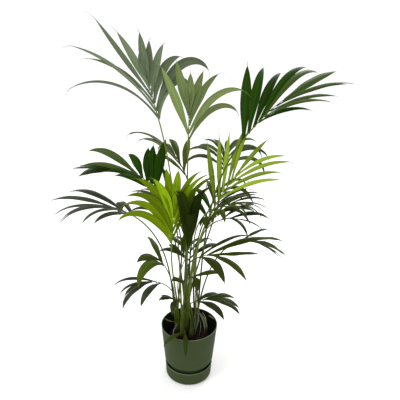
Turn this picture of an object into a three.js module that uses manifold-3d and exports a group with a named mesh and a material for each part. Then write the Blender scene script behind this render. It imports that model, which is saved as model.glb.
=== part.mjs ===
// A kentia palm in a self-watering pot, in millimetres, +Z up.
// The origin is the middle of the pot's flat underside. -Y is the front.
// Each frond is a stalk and a feathered blade. The same few rules grow all of them:
// a line that leaves in one direction and sags toward the ground, and a row of leaflets on each side of it.
import * as THREE from "three";
import { mergeVertices } from "three/addons/utils/BufferGeometryUtils.js";
import Module from "manifold-3d";

const manifold = await Module();
manifold.setup();

// ---------------------------------------------------------------- driving dimensions

const GAP = 0.3; // air left between two pieces that touch on the real plant
// How far simplifying may move a blade's surface: the first that keeps its corners apart.
const BLADE_TOLERANCES = [0.3, 0.28, 0.26, 0.24, 0.22, 0.2, 0.17, 0.14, 0.1, 0.07, 0.04];
const CORNERS_APART = 1e-4; // a blade's corners must be this far from each other
const LEAFLET_CLEAR = GAP + 2 * BLADE_TOLERANCES[0]; // a leaflet that would come closer is left out

const POT = {
  height: 250,
  rimRadius: 120,
  shoulderHeight: 80, // where the tapered wall ends and the neck begins
  shoulderRadius: 105,
  neckRadius: 91,
  skirtRadius: 80, // the neck's lower end, inside the reservoir
  floorHeight: 40,
  wall: 2.8,
  shoulderRound: 5,
  rimRound: 1.2,
  innerStep: 12, // how far above the shoulder the inner wall starts to follow the taper
  sides: 36,
};

const RESERVOIR = {
  lipHeight: 61,
  lipRadius: 103,
  bellyHeight: 20,
  bellyRadius: 100,
  footRadius: 88,
  footRound: 10, // height of the rounded edge between foot and belly
  lipRound: 1,
  floor: 3,
  wall: 2.6,
};

const ROOT_BALL = { topHeight: 190, topRadius: 88, bottomRadius: 80, edge: 6 };

const STEM = { topRadius: 11, footRadius: 12.5, flareRadius: 15, flareHeight: 22, steps: 5, sides: 10 };

// Short stems that carry the stalks: where each stands, how high it ends and how far its top leans.
const STEMS = [
  { name: "stem_left", foot: [-48, 0], top: [-54, 0, 262] },
  { name: "stem_front", foot: [-26, -34], top: [-29, -38, 280] },
  { name: "stem_back", foot: [-16, 40], top: [-15, 45, 295] },
  { name: "stem_right", foot: [22, 10], top: [30, 11, 276] },
  { name: "stem_middle", foot: [-12, 2], top: [-12, 2, 305] },
  { name: "stem_low", foot: [8, -34], top: [13, -40, 262] },
];

const STALK = { footRadius: 3.5, tipRadius: 2.7, sides: 5, steps: 6, lean: 0.35, arrive: 0.3 };
const THIN_STALK = { footRadius: 2.6, tipRadius: 1.9, ribSteps: 2 };
const FEET_APART = 1.1; // air between neighbouring stalk feet on one stem
const STALKS_APART = 0.9; // least air between two stalks anywhere
const PLACES = 48; // places along a stalk where its air is measured
// Ways tried until a stalk is clear: how far it stays upright, as a share of its span, and its sideways bow.
const RISES = [0.34, 0.24, 0.44];
const SWAYS = [0, 12, -12, 24, -24, 36, -36, 50, -50, 70, -70];

const RACHIS = { tipRadius: 1.3, steps: 10, solidSteps: 5, sides: 5, power: 1.2 };
const LEAFLET = {
  steps: 12,
  solidSteps: [0, 4, 7, 10], // where the solid has a section; it ends in a point at the last step
  late: 1.6,
  firstAt: 8, // from the stalk's tip to the first leaflet's midrib
  stagger: 0.35, // how far the right row is set along against the left one, in leaflets
  thinness: 90, // length over thickness
  leastThickness: 1.7,
  rootWidth: 0.34, // of the full width
  widestAt: 0.5,
  bluntness: 0.7, // under 1 the outer part keeps its width for longer
};

// A leaflet's length along the rib: least at the ends of the frond and most in its middle.
const FULLNESS = { least: 0.78, more: 0.27, from: 0.2, run: 0.75 };

// The most that one leaflet differs from its row: degrees, degrees, and two shares.
const VARIETY = { spread: 3, lift: 6, length: 0.08, droop: 0.15 };

const TONES = {
  grey: 0x6a7c5c,
  mid: 0x647e46,
  dark: 0x2c4c1c,
  lime: 0x789614,
  olive: 0x466422,
};

// One row of leaflets: how many, then runs of values that are spread evenly from its first leaflet to its
// last: the angle off the rib and the sag in degrees, the share of the frond's leaf length, and the breadth
// as a share of its leaf width. span is the stretch of the rib that the row takes. With late over 1 the
// leaflets sag mostly near their ends.
const row = (count, spread, droop, more = {}) => ({
  count, spread, droop, share: [1, 1], breadth: [1, 1], span: [0, 0.92], late: LEAFLET.late, ...more,
});

// The fronds. base is where the first leaflet sits. azimuth is 0 to the right and 90 to the back, rise is
// the rib's angle above level, rib its length, bend its sag, and roll turns the blade about its rib. leaf
// and width are the leaflets' full size, lift raises both rows into a V, and tip is the end leaflet's sag
// and share.
const FRONDS = [
  {
    name: "tall_left", stem: "stem_front", base: [-123, 10, 1119],
    azimuth: 190, rise: 75, rib: 152, bend: 0, roll: 90, leaf: 225, width: 31, lift: 8,
    tone: "grey", seed: 3, tip: [-4, 0.55],
    left: row(5, [22, 32, 25, 20, 14], [150, 130, 60, 15, 0], {
      share: [1.1, 1.4, 0.85, 0.75, 0.78], late: 1.9, breadth: [1.15, 1.2, 1, 1],
    }),
    right: row(6, [22, 23, 18, 23, 14, -5], [110, 28, 60, 0, 12, 0], {
      share: [1.6, 1.6, 1.2, 1.5, 1, 0.9], late: 1.4, breadth: [0.3, 0.45, 0.45, 0.6, 0.9, 1],
    }),
  },
  {
    name: "tall_middle", stem: "stem_back", base: [-17, 40, 1035],
    azimuth: 280, rise: 84, rib: 115, bend: 4, leaf: 220, width: 35, lift: 12,
    tone: "mid", seed: 5, tip: [5, 0.75],
    left: row(4, [28, 25, 17, 9], [105, 88, 35, 0], {
      share: [1.25, 1.2, 1, 0.88], late: 2.2, breadth: [0.8, 1.1],
    }),
    right: row(2, [22, 12], [15, 0], { share: [1.1, 1] }),
  },
  {
    name: "tall_right", stem: "stem_right", base: [182, 0, 1055],
    azimuth: 30, rise: 46, rib: 235, bend: 18, roll: 26, leaf: 240, width: 38, lift: 14,
    tone: "dark", seed: 8, tip: [25, 1.5],
    left: row(5, [37, 28, 22, 15, 8], [8, 40, 55, 64, 68], {
      share: [1.42, 1.27, 1.27, 1.45, 1.55], span: [0, 0.6], late: 2, breadth: [1.2, 0.7],
    }),
    right: row(5, [20, 14], [50, 35], {
      share: [0.75, 1.6], span: [0.35, 0.95], late: 1.5, breadth: [0.6, 0.6],
    }),
  },
  {
    name: "broad_left", stem: "stem_middle", base: [-129, -20, 838],
    azimuth: 172, rise: 62, rib: 190, bend: 62, roll: -30, leaf: 190, width: 40, lift: 20,
    tone: "dark", seed: 9, tip: [40, 1.1],
    left: row(5, [24, 8], [60, 20], {
      share: [0.85, 1.3], span: [0.12, 0.95], late: 1.8, breadth: [0.8, 0.7],
    }),
    right: row(5, [40, 44, 46, 40, 14], [15, 15, 30, 70, 55], {
      share: [1.25, 0.92, 0.72, 0.6, 1.25], span: [0, 0.6], late: 2.2, breadth: [1.1, 1.1, 0.9, 0.8],
    }),
  },
  {
    name: "side_left", stem: "stem_left", base: [-200, -60, 759],
    azimuth: 178, rise: 36, rib: 110, bend: 25, leaf: 300, width: 32, lift: 15,
    tone: "olive", seed: 11, tip: [60, 1],
    left: row(4, [40, 14], [85, 85], { share: [0.55, 0.95], span: [0.3, 0.92] }),
    right: row(3, [60, 26, 16], [170, 75, 60], {
      share: [0.6, 0.85, 1.15], span: [0.05, 0.92], breadth: [1.5, 1.2, 1.2],
    }),
  },
  {
    name: "front_lime", stem: "stem_left", base: [-69, -120, 678],
    azimuth: 290, rise: 82, rib: 168, bend: 8, leaf: 235, width: 34, lift: 20,
    tone: "lime", seed: 13, tip: [20, 0.85],
    left: row(4, [26, 10], [60, 50], { share: [1.05, 0.95], span: [0.2, 0.85], late: 2.3 }),
    right: row(6, [28, 8], [135, 10], { share: [1.2, 0.9], span: [0, 0.75], late: 2.2 }),
  },
  {
    name: "right_lime", stem: "stem_middle", base: [76, -40, 782],
    azimuth: 25, rise: 60, rib: 170, bend: 12, roll: 45, leaf: 255, width: 18, lift: 20,
    tone: "lime", seed: 15, tip: [15, 0.8],
    left: row(6, [42, 20], [0, 20], { share: [0.85, 0.85], breadth: [1.4, 0.9] }),
    right: row(4, [30, 14], [45, 45], { share: [0.85, 1], span: [0.3, 0.95] }),
  },
  {
    name: "back_left", stem: "stem_back", base: [-25, 90, 885],
    azimuth: 140, rise: 60, rib: 140, bend: 35, leaf: 190, width: 32, lift: 30,
    tone: "olive", seed: 17, tip: [60, 1.2],
    left: row(4, [30, 10], [70, 70], { share: [0.9, 1.3], late: 1.8 }),
    right: row(3, [34, 12], [50, 110], { share: [0.95, 0.8], span: [0, 0.7] }),
  },
  {
    name: "back_right", stem: "stem_back", base: [127, 110, 900],
    azimuth: 80, rise: 74, rib: 75, bend: 15, leaf: 185, width: 17, lift: 25,
    tone: "olive", seed: 19, tip: [60, 0.5],
    left: row(5, [46, 18], [130, 110], { share: [1.05, 0.8] }),
    right: row(5, [46, 18], [140, 110], { share: [1.25, 0.85] }),
  },
  {
    name: "side_right", stem: "stem_right", base: [85, 20, 774],
    azimuth: 8, rise: 26, rib: 90, bend: 20, leaf: 205, width: 21, lift: 15,
    tone: "olive", seed: 21, tip: [70, 1],
    left: row(4, [36, 20], [80, 70]),
    right: row(3, [50, 20], [100, 80], { share: [0.9, 0.9] }),
  },
  {
    name: "side_right_low", stem: "stem_right", base: [109, -20, 743],
    azimuth: 352, rise: 25, rib: 60, bend: 25, leaf: 200, width: 27, lift: 25,
    tone: "olive", seed: 23, tip: [70, 1],
    left: row(2, [40, 20], [70, 70]),
    right: row(3, [50, 20], [110, 80], { share: [0.9, 0.9] }),
  },
  {
    name: "arching_right", stem: "stem_middle", base: [81, 40, 792],
    azimuth: 30, rise: 62, rib: 60, bend: 15, leaf: 200, width: 22, lift: 20,
    tone: "olive", seed: 24, tip: [120, 1],
    left: row(2, [40, 20], [130, 120], { share: [0.9, 0.9] }),
    right: row(2, [40, 20], [130, 120]),
  },
  {
    name: "front_dark", stem: "stem_front", base: [-9, -118, 655],
    azimuth: 288, rise: 86, rib: 80, bend: 6, leaf: 260, width: 33, lift: 8,
    tone: "dark", seed: 25, tip: [100, 0.85],
    left: row(3, [9, 5], [20, 60], { share: [0.85, 1.08], late: 3.2, breadth: [1, 0.9] }),
    right: row(2, [12, 6], [20, 80], {
      share: [0.8, 1.05], span: [0.1, 0.8], late: 3.2, breadth: [1, 0.9],
    }),
  },
  {
    name: "inner_right", stem: "stem_middle", base: [50, -85, 718],
    azimuth: 330, rise: 66, rib: 110, bend: 20, leaf: 195, width: 32, lift: 20,
    tone: "olive", seed: 27, tip: [120, 0.9],
    left: row(3, [34, 12], [110, 120], { late: 2.2 }),
    right: row(3, [34, 12], [110, 120], { late: 2.2 }),
  },
  {
    name: "inner_left", stem: "stem_back", base: [-24, 30, 636],
    azimuth: 150, rise: 75, rib: 160, bend: 20, leaf: 190, width: 24, lift: 25,
    tone: "dark", seed: 29, tip: [30, 1],
    left: row(3, [30, 16], [30, 30]),
    right: row(3, [30, 16], [40, 30]),
  },
  {
    name: "low_right", stem: "stem_low", base: [24, -88, 612],
    azimuth: 350, rise: 30, rib: 60, bend: 15, leaf: 230, width: 36, lift: 15,
    tone: "olive", seed: 31, tip: [22, 0.95],
    left: row(2, [40, 22], [60, 50], { share: [1.4, 1.15] }),
    right: row(2, [54, 36], [70, 60], { share: [0.7, 1.15], breadth: [1.1, 1] }),
  },
  {
    name: "far_right", stem: "stem_right", base: [193, 40, 623],
    azimuth: 5, rise: 20, rib: 70, bend: 40, leaf: 190, width: 23, lift: 12,
    tone: "olive", seed: 33, tip: [50, 1],
    left: row(4, [34, 14], [40, 50]),
    right: row(4, [38, 14], [40, 50], { share: [0.9, 0.9] }),
  },
  {
    name: "rear_left", stem: "stem_left", base: [-58, 130, 652],
    azimuth: 115, rise: 42, rib: 160, bend: 30, leaf: 240, width: 30, lift: 20,
    tone: "olive", seed: 52, tip: [60, 1],
    left: row(4, [46, 20], [80, 70]),
    right: row(4, [46, 20], [80, 70]),
  },
  {
    name: "rear_right", stem: "stem_right", base: [69, 130, 670],
    azimuth: 65, rise: 40, rib: 150, bend: 30, leaf: 235, width: 30, lift: 20,
    tone: "dark", seed: 53, tip: [60, 1],
    left: row(4, [46, 20], [80, 70]),
    right: row(4, [46, 20], [80, 70]),
  },
  {
    name: "rear_low", stem: "stem_back", base: [-4, 100, 492],
    azimuth: 92, rise: 30, rib: 110, bend: 30, leaf: 200, width: 30, lift: 15,
    tone: "olive", seed: 55, tip: [60, 1],
    left: row(3, [50, 22], [80, 70]),
    right: row(3, [50, 22], [80, 70]),
  },
];

// Young fronds low in the clump: stalk and blade are one thin piece.
const SMALL_FRONDS = [
  {
    name: "low_left", stem: "stem_left", base: [-97, -70, 562],
    azimuth: 170, rise: 60, rib: 40, bend: 10, leaf: 175, width: 40, lift: 12,
    tone: "olive", seed: 35, tip: null,
    left: row(2, [44, 30], [120, 60], { share: [1.1, 0.7] }),
    right: row(2, [24, 40], [80, 60], { share: [0.95, 0.6], breadth: [1.1, 0.8] }),
  },
  {
    name: "lowest_left", stem: "stem_left", base: [-108, -90, 498],
    azimuth: 195, rise: 30, rib: 60, bend: 30, leaf: 170, width: 30, lift: 2,
    tone: "olive", seed: 37, tip: [90, 0.9],
    left: row(2, [44, 22], [110, 95], { share: [0.95, 1.15] }),
    right: row(2, [16, 10], [95, 90], { share: [1.1, 1.1] }),
  },
  {
    name: "inner_low_back", stem: "stem_middle", base: [-20, -75, 600],
    azimuth: 150, rise: 75, rib: 30, bend: 10, leaf: 100, width: 32, lift: 10,
    tone: "olive", seed: 39, tip: null,
    left: row(1, [30, 20], [40, 40]),
    right: row(1, [30, 20], [40, 30]),
  },
  {
    name: "inner_low_left", stem: "stem_front", base: [-15, -70, 486],
    azimuth: 180, rise: 58, rib: 40, bend: 10, leaf: 125, width: 36, lift: 10,
    tone: "olive", seed: 41, tip: null,
    left: row(2, [40, 24], [50, 40], { share: [0.9, 1] }),
    right: row(2, [34, 6], [30, 40], { share: [0.95, 1] }),
  },
  {
    name: "inner_low_right", stem: "stem_low", base: [-2, -56, 506],
    azimuth: 350, rise: 30, rib: 36, bend: 10, leaf: 140, width: 34, lift: 10,
    tone: "olive", seed: 43, tip: null,
    left: row(1, [16, 20], [70, 60], { share: [1, 1] }),
    right: row(1, [70, 50], [100, 80], { share: [0.6, 0.7] }),
  },
  {
    name: "pot_right", stem: "stem_low", base: [15, -62, 396],
    azimuth: 350, rise: 28, rib: 60, bend: 10, leaf: 150, width: 32, lift: 10,
    tone: "olive", seed: 45, tip: [70, 1.1],
    left: row(2, [40, 16], [70, 60], { share: [0.8, 1] }),
    right: row(2, [34, 14], [90, 80], { share: [0.95, 1.3] }),
  },
  {
    name: "pot_left", stem: "stem_front", base: [-46, -50, 392],
    azimuth: 190, rise: 35, rib: 30, bend: 10, leaf: 92, width: 28, lift: 10,
    tone: "olive", seed: 49, tip: null,
    left: row(1, [60, 20], [120, 60], { share: [0.9, 0.8] }),
    right: row(2, [50, 10], [60, 110], { share: [0.9, 0.9] }),
  },
  {
    name: "pot_front", stem: null, foot: [-18, -58], base: [-16, -75, 264],
    azimuth: 262, rise: 20, rib: 20, bend: 10, leaf: 112, width: 20, lift: 10,
    tone: "olive", seed: 47, tip: null,
    left: row(1, [14, 20], [120, 60], { share: [1.2, 1.1] }),
    right: row(1, [46, 20], [70, 60], { breadth: [1.2, 1] }),
  },
];

// ---------------------------------------------------------------- small helpers

const UP = new THREE.Vector3(0, 0, 1);
const DOWN = new THREE.Vector3(0, 0, -1);
const NO_DIRECTION = 0.05; // a crossed unit vector shorter than this gives no sure direction
const radians = THREE.MathUtils.degToRad;
const mix = THREE.MathUtils.lerp;
const vector = (values) => new THREE.Vector3(...values);

// A repeatable run of random numbers.
class Dice {
  constructor(seed) {
    this.state = seed >>> 0;
  }

  // A number from -1 to 1.
  swing() {
    this.state = (Math.imul(this.state, 1664525) + 1013904223) >>> 0;
    return (this.state / 2 ** 32) * 2 - 1;
  }
}

// The unit vector at an azimuth and an angle above level.
function heading(azimuth, rise) {
  const a = radians(azimuth);
  const e = radians(rise);
  return new THREE.Vector3(Math.cos(e) * Math.cos(a), Math.cos(e) * Math.sin(a), Math.sin(e));
}

// A line that starts along a direction and turns toward the ground, by droop degrees at its end.
function grow(start, direction, length, droop, steps, power) {
  const axis = new THREE.Vector3().crossVectors(direction, DOWN);
  if (axis.length() < NO_DIRECTION) axis.set(0, 1, 0);
  axis.normalize();
  const points = [start.clone()];
  const directions = [direction.clone()];
  let before = 0;
  for (let i = 1; i <= steps; i++) {
    const angle = radians(droop) * (i / steps) ** power;
    const along = direction.clone().applyAxisAngle(axis, (angle + before) / 2);
    points.push(points[i - 1].clone().addScaledVector(along, length / steps));
    directions.push(direction.clone().applyAxisAngle(axis, angle));
    before = angle;
  }
  return { points, directions };
}

// The vector a share of the way along a list of vectors.
function between(list, share) {
  const last = list.length - 1;
  const i = Math.min(last - 1, Math.floor(share * last));
  return list[i].clone().lerp(list[i + 1], share * last - i);
}

// The number a share of the way along a run of evenly spread numbers.
function valueAt(values, share) {
  const last = values.length - 1;
  const i = Math.min(last - 1, Math.floor(share * last));
  return mix(values[i], values[i + 1], share * last - i);
}

// What is left of a vector once its part along a unit direction is taken out.
function squareTo(v, direction) {
  return v.clone().addScaledVector(direction, -v.dot(direction));
}

// A leaflet's width along its length, as a share of its full width.
function leafletWidth(share) {
  const { rootWidth, widestAt } = LEAFLET;
  if (share < widestAt) return mix(rootWidth, 1, (1 - Math.cos((share / widestAt) * Math.PI)) / 2);
  const past = (share - widestAt) / (1 - widestAt);
  return Math.max(0, Math.cos((past * Math.PI) / 2)) ** LEAFLET.bluntness;
}

// ---------------------------------------------------------------- the frond rule

// Where each leaflet of a frond sits on the rib, and how it leaves it.
function leafletPlan(frond) {
  const plan = [];
  const first = LEAFLET.firstAt / frond.rib;
  for (const [side, spec, offset] of [[-1, frond.left, 0], [1, frond.right, LEAFLET.stagger]]) {
    for (let i = 0; i < spec.count; i++) {
      const q = (i + offset) / Math.max(1, spec.count - 1 + LEAFLET.stagger);
      plan.push({
        side,
        at: mix(Math.max(first, spec.span[0]), Math.max(first, spec.span[1]), q),
        spread: valueAt(spec.spread, q),
        droop: valueAt(spec.droop, q),
        share: valueAt(spec.share, q),
        late: spec.late,
        breadth: valueAt(spec.breadth, q),
      });
    }
  }
  if (frond.tip) {
    const [droop, share] = frond.tip;
    plan.push({ side: 0, at: 1, spread: 0, droop, share, late: LEAFLET.late, breadth: 1 });
  }
  return plan;
}

// The rib and the leaflets of a frond, as lines in space.
function planFrond(frond) {
  const rib = grow(
    vector(frond.base), heading(frond.azimuth, frond.rise), frond.rib, frond.bend, RACHIS.steps, RACHIS.power,
  );
  const across = heading(frond.azimuth, 0).cross(UP);
  const dice = new Dice(frond.seed);
  const leaflets = leafletPlan(frond).map((plan) => {
    const point = between(rib.points, plan.at);
    const direction = between(rib.directions, plan.at).normalize();
    const side = squareTo(across, direction).normalize().applyAxisAngle(direction, radians(frond.roll ?? 0));
    const normal = new THREE.Vector3().crossVectors(side, direction).normalize();
    const angle = radians(plan.spread + VARIETY.spread * dice.swing());
    const lift = radians(frond.lift + VARIETY.lift * dice.swing());
    const outward = side.clone().multiplyScalar((plan.side || 1) * Math.cos(lift));
    outward.addScaledVector(normal, Math.sin(lift));
    const start = direction.clone().multiplyScalar(Math.cos(angle));
    start.addScaledVector(outward, Math.sin(angle)).normalize();
    const bulge = Math.sin(Math.PI * Math.min(1, plan.at * FULLNESS.run + FULLNESS.from));
    const fullness = FULLNESS.least + FULLNESS.more * bulge;
    const length = frond.leaf * fullness * plan.share * (1 + VARIETY.length * dice.swing());
    const droop = plan.droop * (1 + VARIETY.droop * dice.swing());
    const line = grow(point, start, length, droop, LEAFLET.steps, plan.late);
    let wide = squareTo(direction, start);
    if (wide.length() < NO_DIRECTION) wide = squareTo(side, start);
    wide.normalize();
    const widths = line.directions.map((d) => {
      wide = squareTo(wide, d).normalize();
      return wide;
    });
    return { ...line, widths, length, width: frond.width * plan.breadth };
  });
  return { rib, leaflets };
}

// ---------------------------------------------------------------- the stalks' ways

// Where the stalks stand on their stem's flat top: side by side on a ring, turned so that the feet
// come as near as they can to the sides that the stalks lean to.
function stalkFeet(stem, fronds, radiusOf) {
  const top = vector(stem.top);
  const turnOf = (frond) => Math.atan2(frond.base[1] - top.y, frond.base[0] - top.x);
  const inOrder = [...fronds].sort((a, b) => turnOf(a) - turnOf(b));
  const widest = Math.max(...inOrder.map(radiusOf));
  const ring = inOrder.length < 2 ? 0 : (widest + FEET_APART / 2) / Math.sin(Math.PI / inOrder.length);
  const step = (2 * Math.PI) / inOrder.length;
  const sum = (of) => inOrder.reduce((total, frond, i) => total + of(turnOf(frond) - step * i), 0);
  const offset = Math.atan2(sum(Math.sin), sum(Math.cos));
  const feet = new Map();
  inOrder.forEach((frond, i) => {
    const turn = offset + step * i;
    const foot = new THREE.Vector3(top.x + ring * Math.cos(turn), top.y + ring * Math.sin(turn), top.z + GAP);
    feet.set(frond.name, foot);
  });
  return feet;
}

// One stalk's centre line: up from its foot and into the rib's own direction, bowed sideways by sway.
function stalkLine(frond, foot, rise, sway) {
  const base = vector(frond.base);
  const arrival = heading(frond.azimuth, frond.rise);
  const span = base.distanceTo(foot);
  const lean = new THREE.Vector3(base.x - foot.x, base.y - foot.y, 0);
  const side = lean.clone().cross(UP).normalize().multiplyScalar(sway);
  const leave = lean.multiplyScalar(STALK.lean / span).add(UP).normalize();
  const first = foot.clone().addScaledVector(leave, span * rise).add(side);
  const second = base.clone().addScaledVector(arrival, -span * STALK.arrive).add(side);
  const curve = new THREE.CubicBezierCurve3(foot, first, second, base);
  return curve.getPoints(STALK.steps);
}

// The least air between two tapered lines, each with a radius at its start and at its end.
function airBetween(a, b) {
  let least = Infinity;
  const closest = new THREE.Vector3();
  const part = new THREE.Line3();
  for (let i = 0; i <= PLACES; i++) {
    const point = between(a.points, i / PLACES);
    const mine = mix(...a.radii, i / PLACES);
    for (let j = 0; j + 1 < b.points.length; j++) {
      part.set(b.points[j], b.points[j + 1]);
      part.closestPointToPoint(point, true, closest);
      const other = mix(...b.radii, j / (b.points.length - 1));
      least = Math.min(least, closest.distanceTo(point) - mine - other);
    }
  }
  return least;
}

// The first bow of a stalk that stays clear of everything placed so far, or the clearest one.
function routeStalk(frond, foot, radii, placed) {
  let best = null;
  for (const rise of RISES)
    for (const sway of SWAYS) {
      const way = { points: stalkLine(frond, foot, rise, sway), radii };
      const air = Math.min(...placed.map((other) => airBetween(way, other)));
      if (!best || air > best.air) best = { ...way, air };
      if (air >= STALKS_APART) return best;
    }
  return best;
}

// ---------------------------------------------------------------- solids

// A closed solid from a geometry's faces, turned to face outward.
function solidOf(geometry) {
  geometry.deleteAttribute("normal");
  geometry.deleteAttribute("uv");
  const merged = mergeVertices(geometry, 1e-4);
  const faces = [];
  for (let i = 0; i < merged.index.count; i += 3) {
    const [a, b, c] = [0, 1, 2].map((k) => merged.index.getX(i + k));
    if (a !== b && b !== c && c !== a) faces.push(a, b, c);
  }
  const build = (triangles) =>
    new manifold.Manifold(
      new manifold.Mesh({
        numProp: 3,
        vertProperties: new Float32Array(merged.attributes.position.array),
        triVerts: new Uint32Array(triangles),
      }),
    );
  const solid = build(faces);
  return solid.volume() > 0 ? solid : build(faces.reverse());
}

// A solid back as a three.js geometry.
function geometryOf(solid) {
  const mesh = solid.getMesh();
  const geometry = new THREE.BufferGeometry();
  const positions = new Float32Array(mesh.numVert * 3);
  for (let i = 0; i < mesh.numVert; i++)
    for (let k = 0; k < 3; k++) positions[i * 3 + k] = mesh.vertProperties[i * mesh.numProp + k];
  geometry.setAttribute("position", new THREE.BufferAttribute(positions, 3));
  geometry.setIndex(new THREE.BufferAttribute(new Uint32Array(mesh.triVerts), 1));
  geometry.computeVertexNormals();
  return geometry;
}

// A solid through rings of equal count, capped at its start and ending in a cap or in one point.
function loft(rings, tip = null) {
  const count = rings[0].length;
  const points = rings.flat();
  const faces = [];
  for (let r = 0; r + 1 < rings.length; r++)
    for (let i = 0; i < count; i++) {
      const a = r * count + i;
      const b = r * count + ((i + 1) % count);
      faces.push(a, b, b + count, a, b + count, a + count);
    }
  const last = (rings.length - 1) * count;
  for (let i = 1; i + 1 < count; i++) faces.push(0, i + 1, i);
  if (tip) {
    const end = points.push(tip) - 1;
    for (let i = 0; i < count; i++) faces.push(last + i, last + ((i + 1) % count), end);
  } else {
    for (let i = 1; i + 1 < count; i++) faces.push(last, last + i, last + i + 1);
  }
  const geometry = new THREE.BufferGeometry().setFromPoints(points);
  geometry.setIndex(faces);
  return solidOf(geometry);
}

// A limb of round section along a line of points, its radius given by a function of the share of the way.
// Its end cuts are square to the given directions.
function limb(points, radiusAt, sides, startAlong = null, endAlong = null) {
  const last = points.length - 1;
  let across = new THREE.Vector3(1, 0, 0);
  const rings = points.map((point, i) => {
    const along = points[Math.min(last, i + 1)].clone().sub(points[Math.max(0, i - 1)]).normalize();
    if (startAlong && i === 0) along.copy(startAlong);
    if (endAlong && i === last) along.copy(endAlong);
    across = squareTo(across, along).normalize();
    const beside = new THREE.Vector3().crossVectors(along, across);
    const radius = radiusAt(i / last);
    return Array.from({ length: sides }, (_, k) => {
      const turn = (2 * Math.PI * k) / sides;
      const out = point.clone().addScaledVector(across, radius * Math.cos(turn));
      return out.addScaledVector(beside, radius * Math.sin(turn));
    });
  });
  return loft(rings);
}

// A radius that changes evenly from the first of two to the second.
const taper = (radii) => (share) => mix(...radii, share);

// One leaflet: a long blade with a keel under its midrib, its root at the rib's centre.
function leafletSolid(leaflet) {
  const thickness = Math.max(LEAFLET.leastThickness, leaflet.length / LEAFLET.thinness);
  const rings = LEAFLET.solidSteps.map((i) => {
    const half = (leafletWidth(i / LEAFLET.steps) * leaflet.width) / 2;
    const wide = leaflet.widths[i];
    const under = new THREE.Vector3().crossVectors(wide, leaflet.directions[i]).normalize();
    if (under.z > 0) under.negate();
    const point = leaflet.points[i];
    return [
      point.clone().addScaledVector(wide, half),
      point.clone().addScaledVector(under, thickness),
      point.clone().addScaledVector(wide, -half),
    ];
  });
  return loft(rings, leaflet.points[LEAFLET.steps]);
}

const solids = new Map(); // every finished solid by its node's name

// True where a solid comes too close to one that stands already.
function touches(solid, others) {
  const mine = solid.boundingBox();
  return others.some((other) => {
    const box = other.boundingBox();
    for (let k = 0; k < 3; k++)
      if (mine.min[k] - LEAFLET_CLEAR > box.max[k] || box.min[k] - LEAFLET_CLEAR > mine.max[k]) return false;
    return solid.minGap(other, LEAFLET_CLEAR) < LEAFLET_CLEAR;
  });
}

// The rib's line in a few straight pieces.
function ribLine(rib, pieces) {
  return Array.from({ length: pieces + 1 }, (_, i) => between(rib.points, i / pieces));
}

// A frond's rib on its own, its foot just clear of the stalk's tip.
function ribSolid(rib) {
  const points = ribLine(rib, RACHIS.solidSteps);
  points[0].addScaledVector(rib.directions[0], GAP);
  return limb(points, taper([STALK.tipRadius, RACHIS.tipRadius]), RACHIS.sides, rib.directions[0]);
}

const biggestPiece = (solid) => solid.decompose().reduce((a, b) => (b.volume() > a.volume() ? b : a));

// True where no two corners of a solid share a place.
function cornersApart(solid) {
  const geometry = geometryOf(solid).deleteAttribute("normal");
  return mergeVertices(geometry, CORNERS_APART).attributes.position.count === solid.numVert();
}

// The rib with every leaflet that touches nothing fused to it.
function bladeSolid(plan, rib, others) {
  let blade = rib;
  for (const leaflet of plan.leaflets) {
    const solid = leafletSolid(leaflet);
    if (touches(solid, others)) continue;
    blade = blade.add(solid);
  }
  const simpler = BLADE_TOLERANCES.map((tolerance) => biggestPiece(blade.asOriginal().simplify(tolerance)));
  return simpler.find(cornersApart);
}

// ---------------------------------------------------------------- pot, reservoir and root ball

// A solid turned about the Z axis from points of [radius, height].
function turned(profile, sides) {
  const points = profile.map(([radius, height]) => new THREE.Vector2(radius, height));
  const geometry = new THREE.LatheGeometry(points, sides);
  geometry.rotateX(Math.PI / 2);
  return solidOf(geometry);
}

// The pot's inner radius at a height above its shoulder.
function potInside(height) {
  const share = (height - POT.shoulderHeight) / (POT.height - POT.shoulderHeight);
  return mix(POT.shoulderRadius, POT.rimRadius, share) - POT.wall;
}

const potSkirtEnd = RESERVOIR.floor + GAP;

// The inner radius of the pot's neck at a height, from the skirt's end up to the shoulder.
function neckInside(height) {
  const share = (height - potSkirtEnd) / (POT.shoulderHeight - potSkirtEnd);
  return mix(POT.skirtRadius, POT.neckRadius, share) - POT.wall;
}

solids.set(
  "pot",
  turned(
    [
      [0, POT.floorHeight - POT.wall],
      [neckInside(POT.floorHeight - POT.wall), POT.floorHeight - POT.wall],
      [POT.skirtRadius - POT.wall, potSkirtEnd],
      [POT.skirtRadius, potSkirtEnd],
      [POT.neckRadius, POT.shoulderHeight - POT.wall],
      [POT.neckRadius, POT.shoulderHeight],
      [POT.shoulderRadius - POT.shoulderRound, POT.shoulderHeight],
      [POT.shoulderRadius, POT.shoulderHeight + POT.shoulderRound],
      [POT.rimRadius, POT.height - POT.rimRound],
      [POT.rimRadius - POT.rimRound, POT.height],
      [POT.rimRadius - POT.wall, POT.height],
      [potInside(POT.shoulderHeight + POT.innerStep), POT.shoulderHeight + POT.innerStep],
      [POT.neckRadius - POT.wall, POT.shoulderHeight],
      [neckInside(POT.floorHeight), POT.floorHeight],
      [0, POT.floorHeight],
    ],
    POT.sides,
  ),
);

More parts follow.
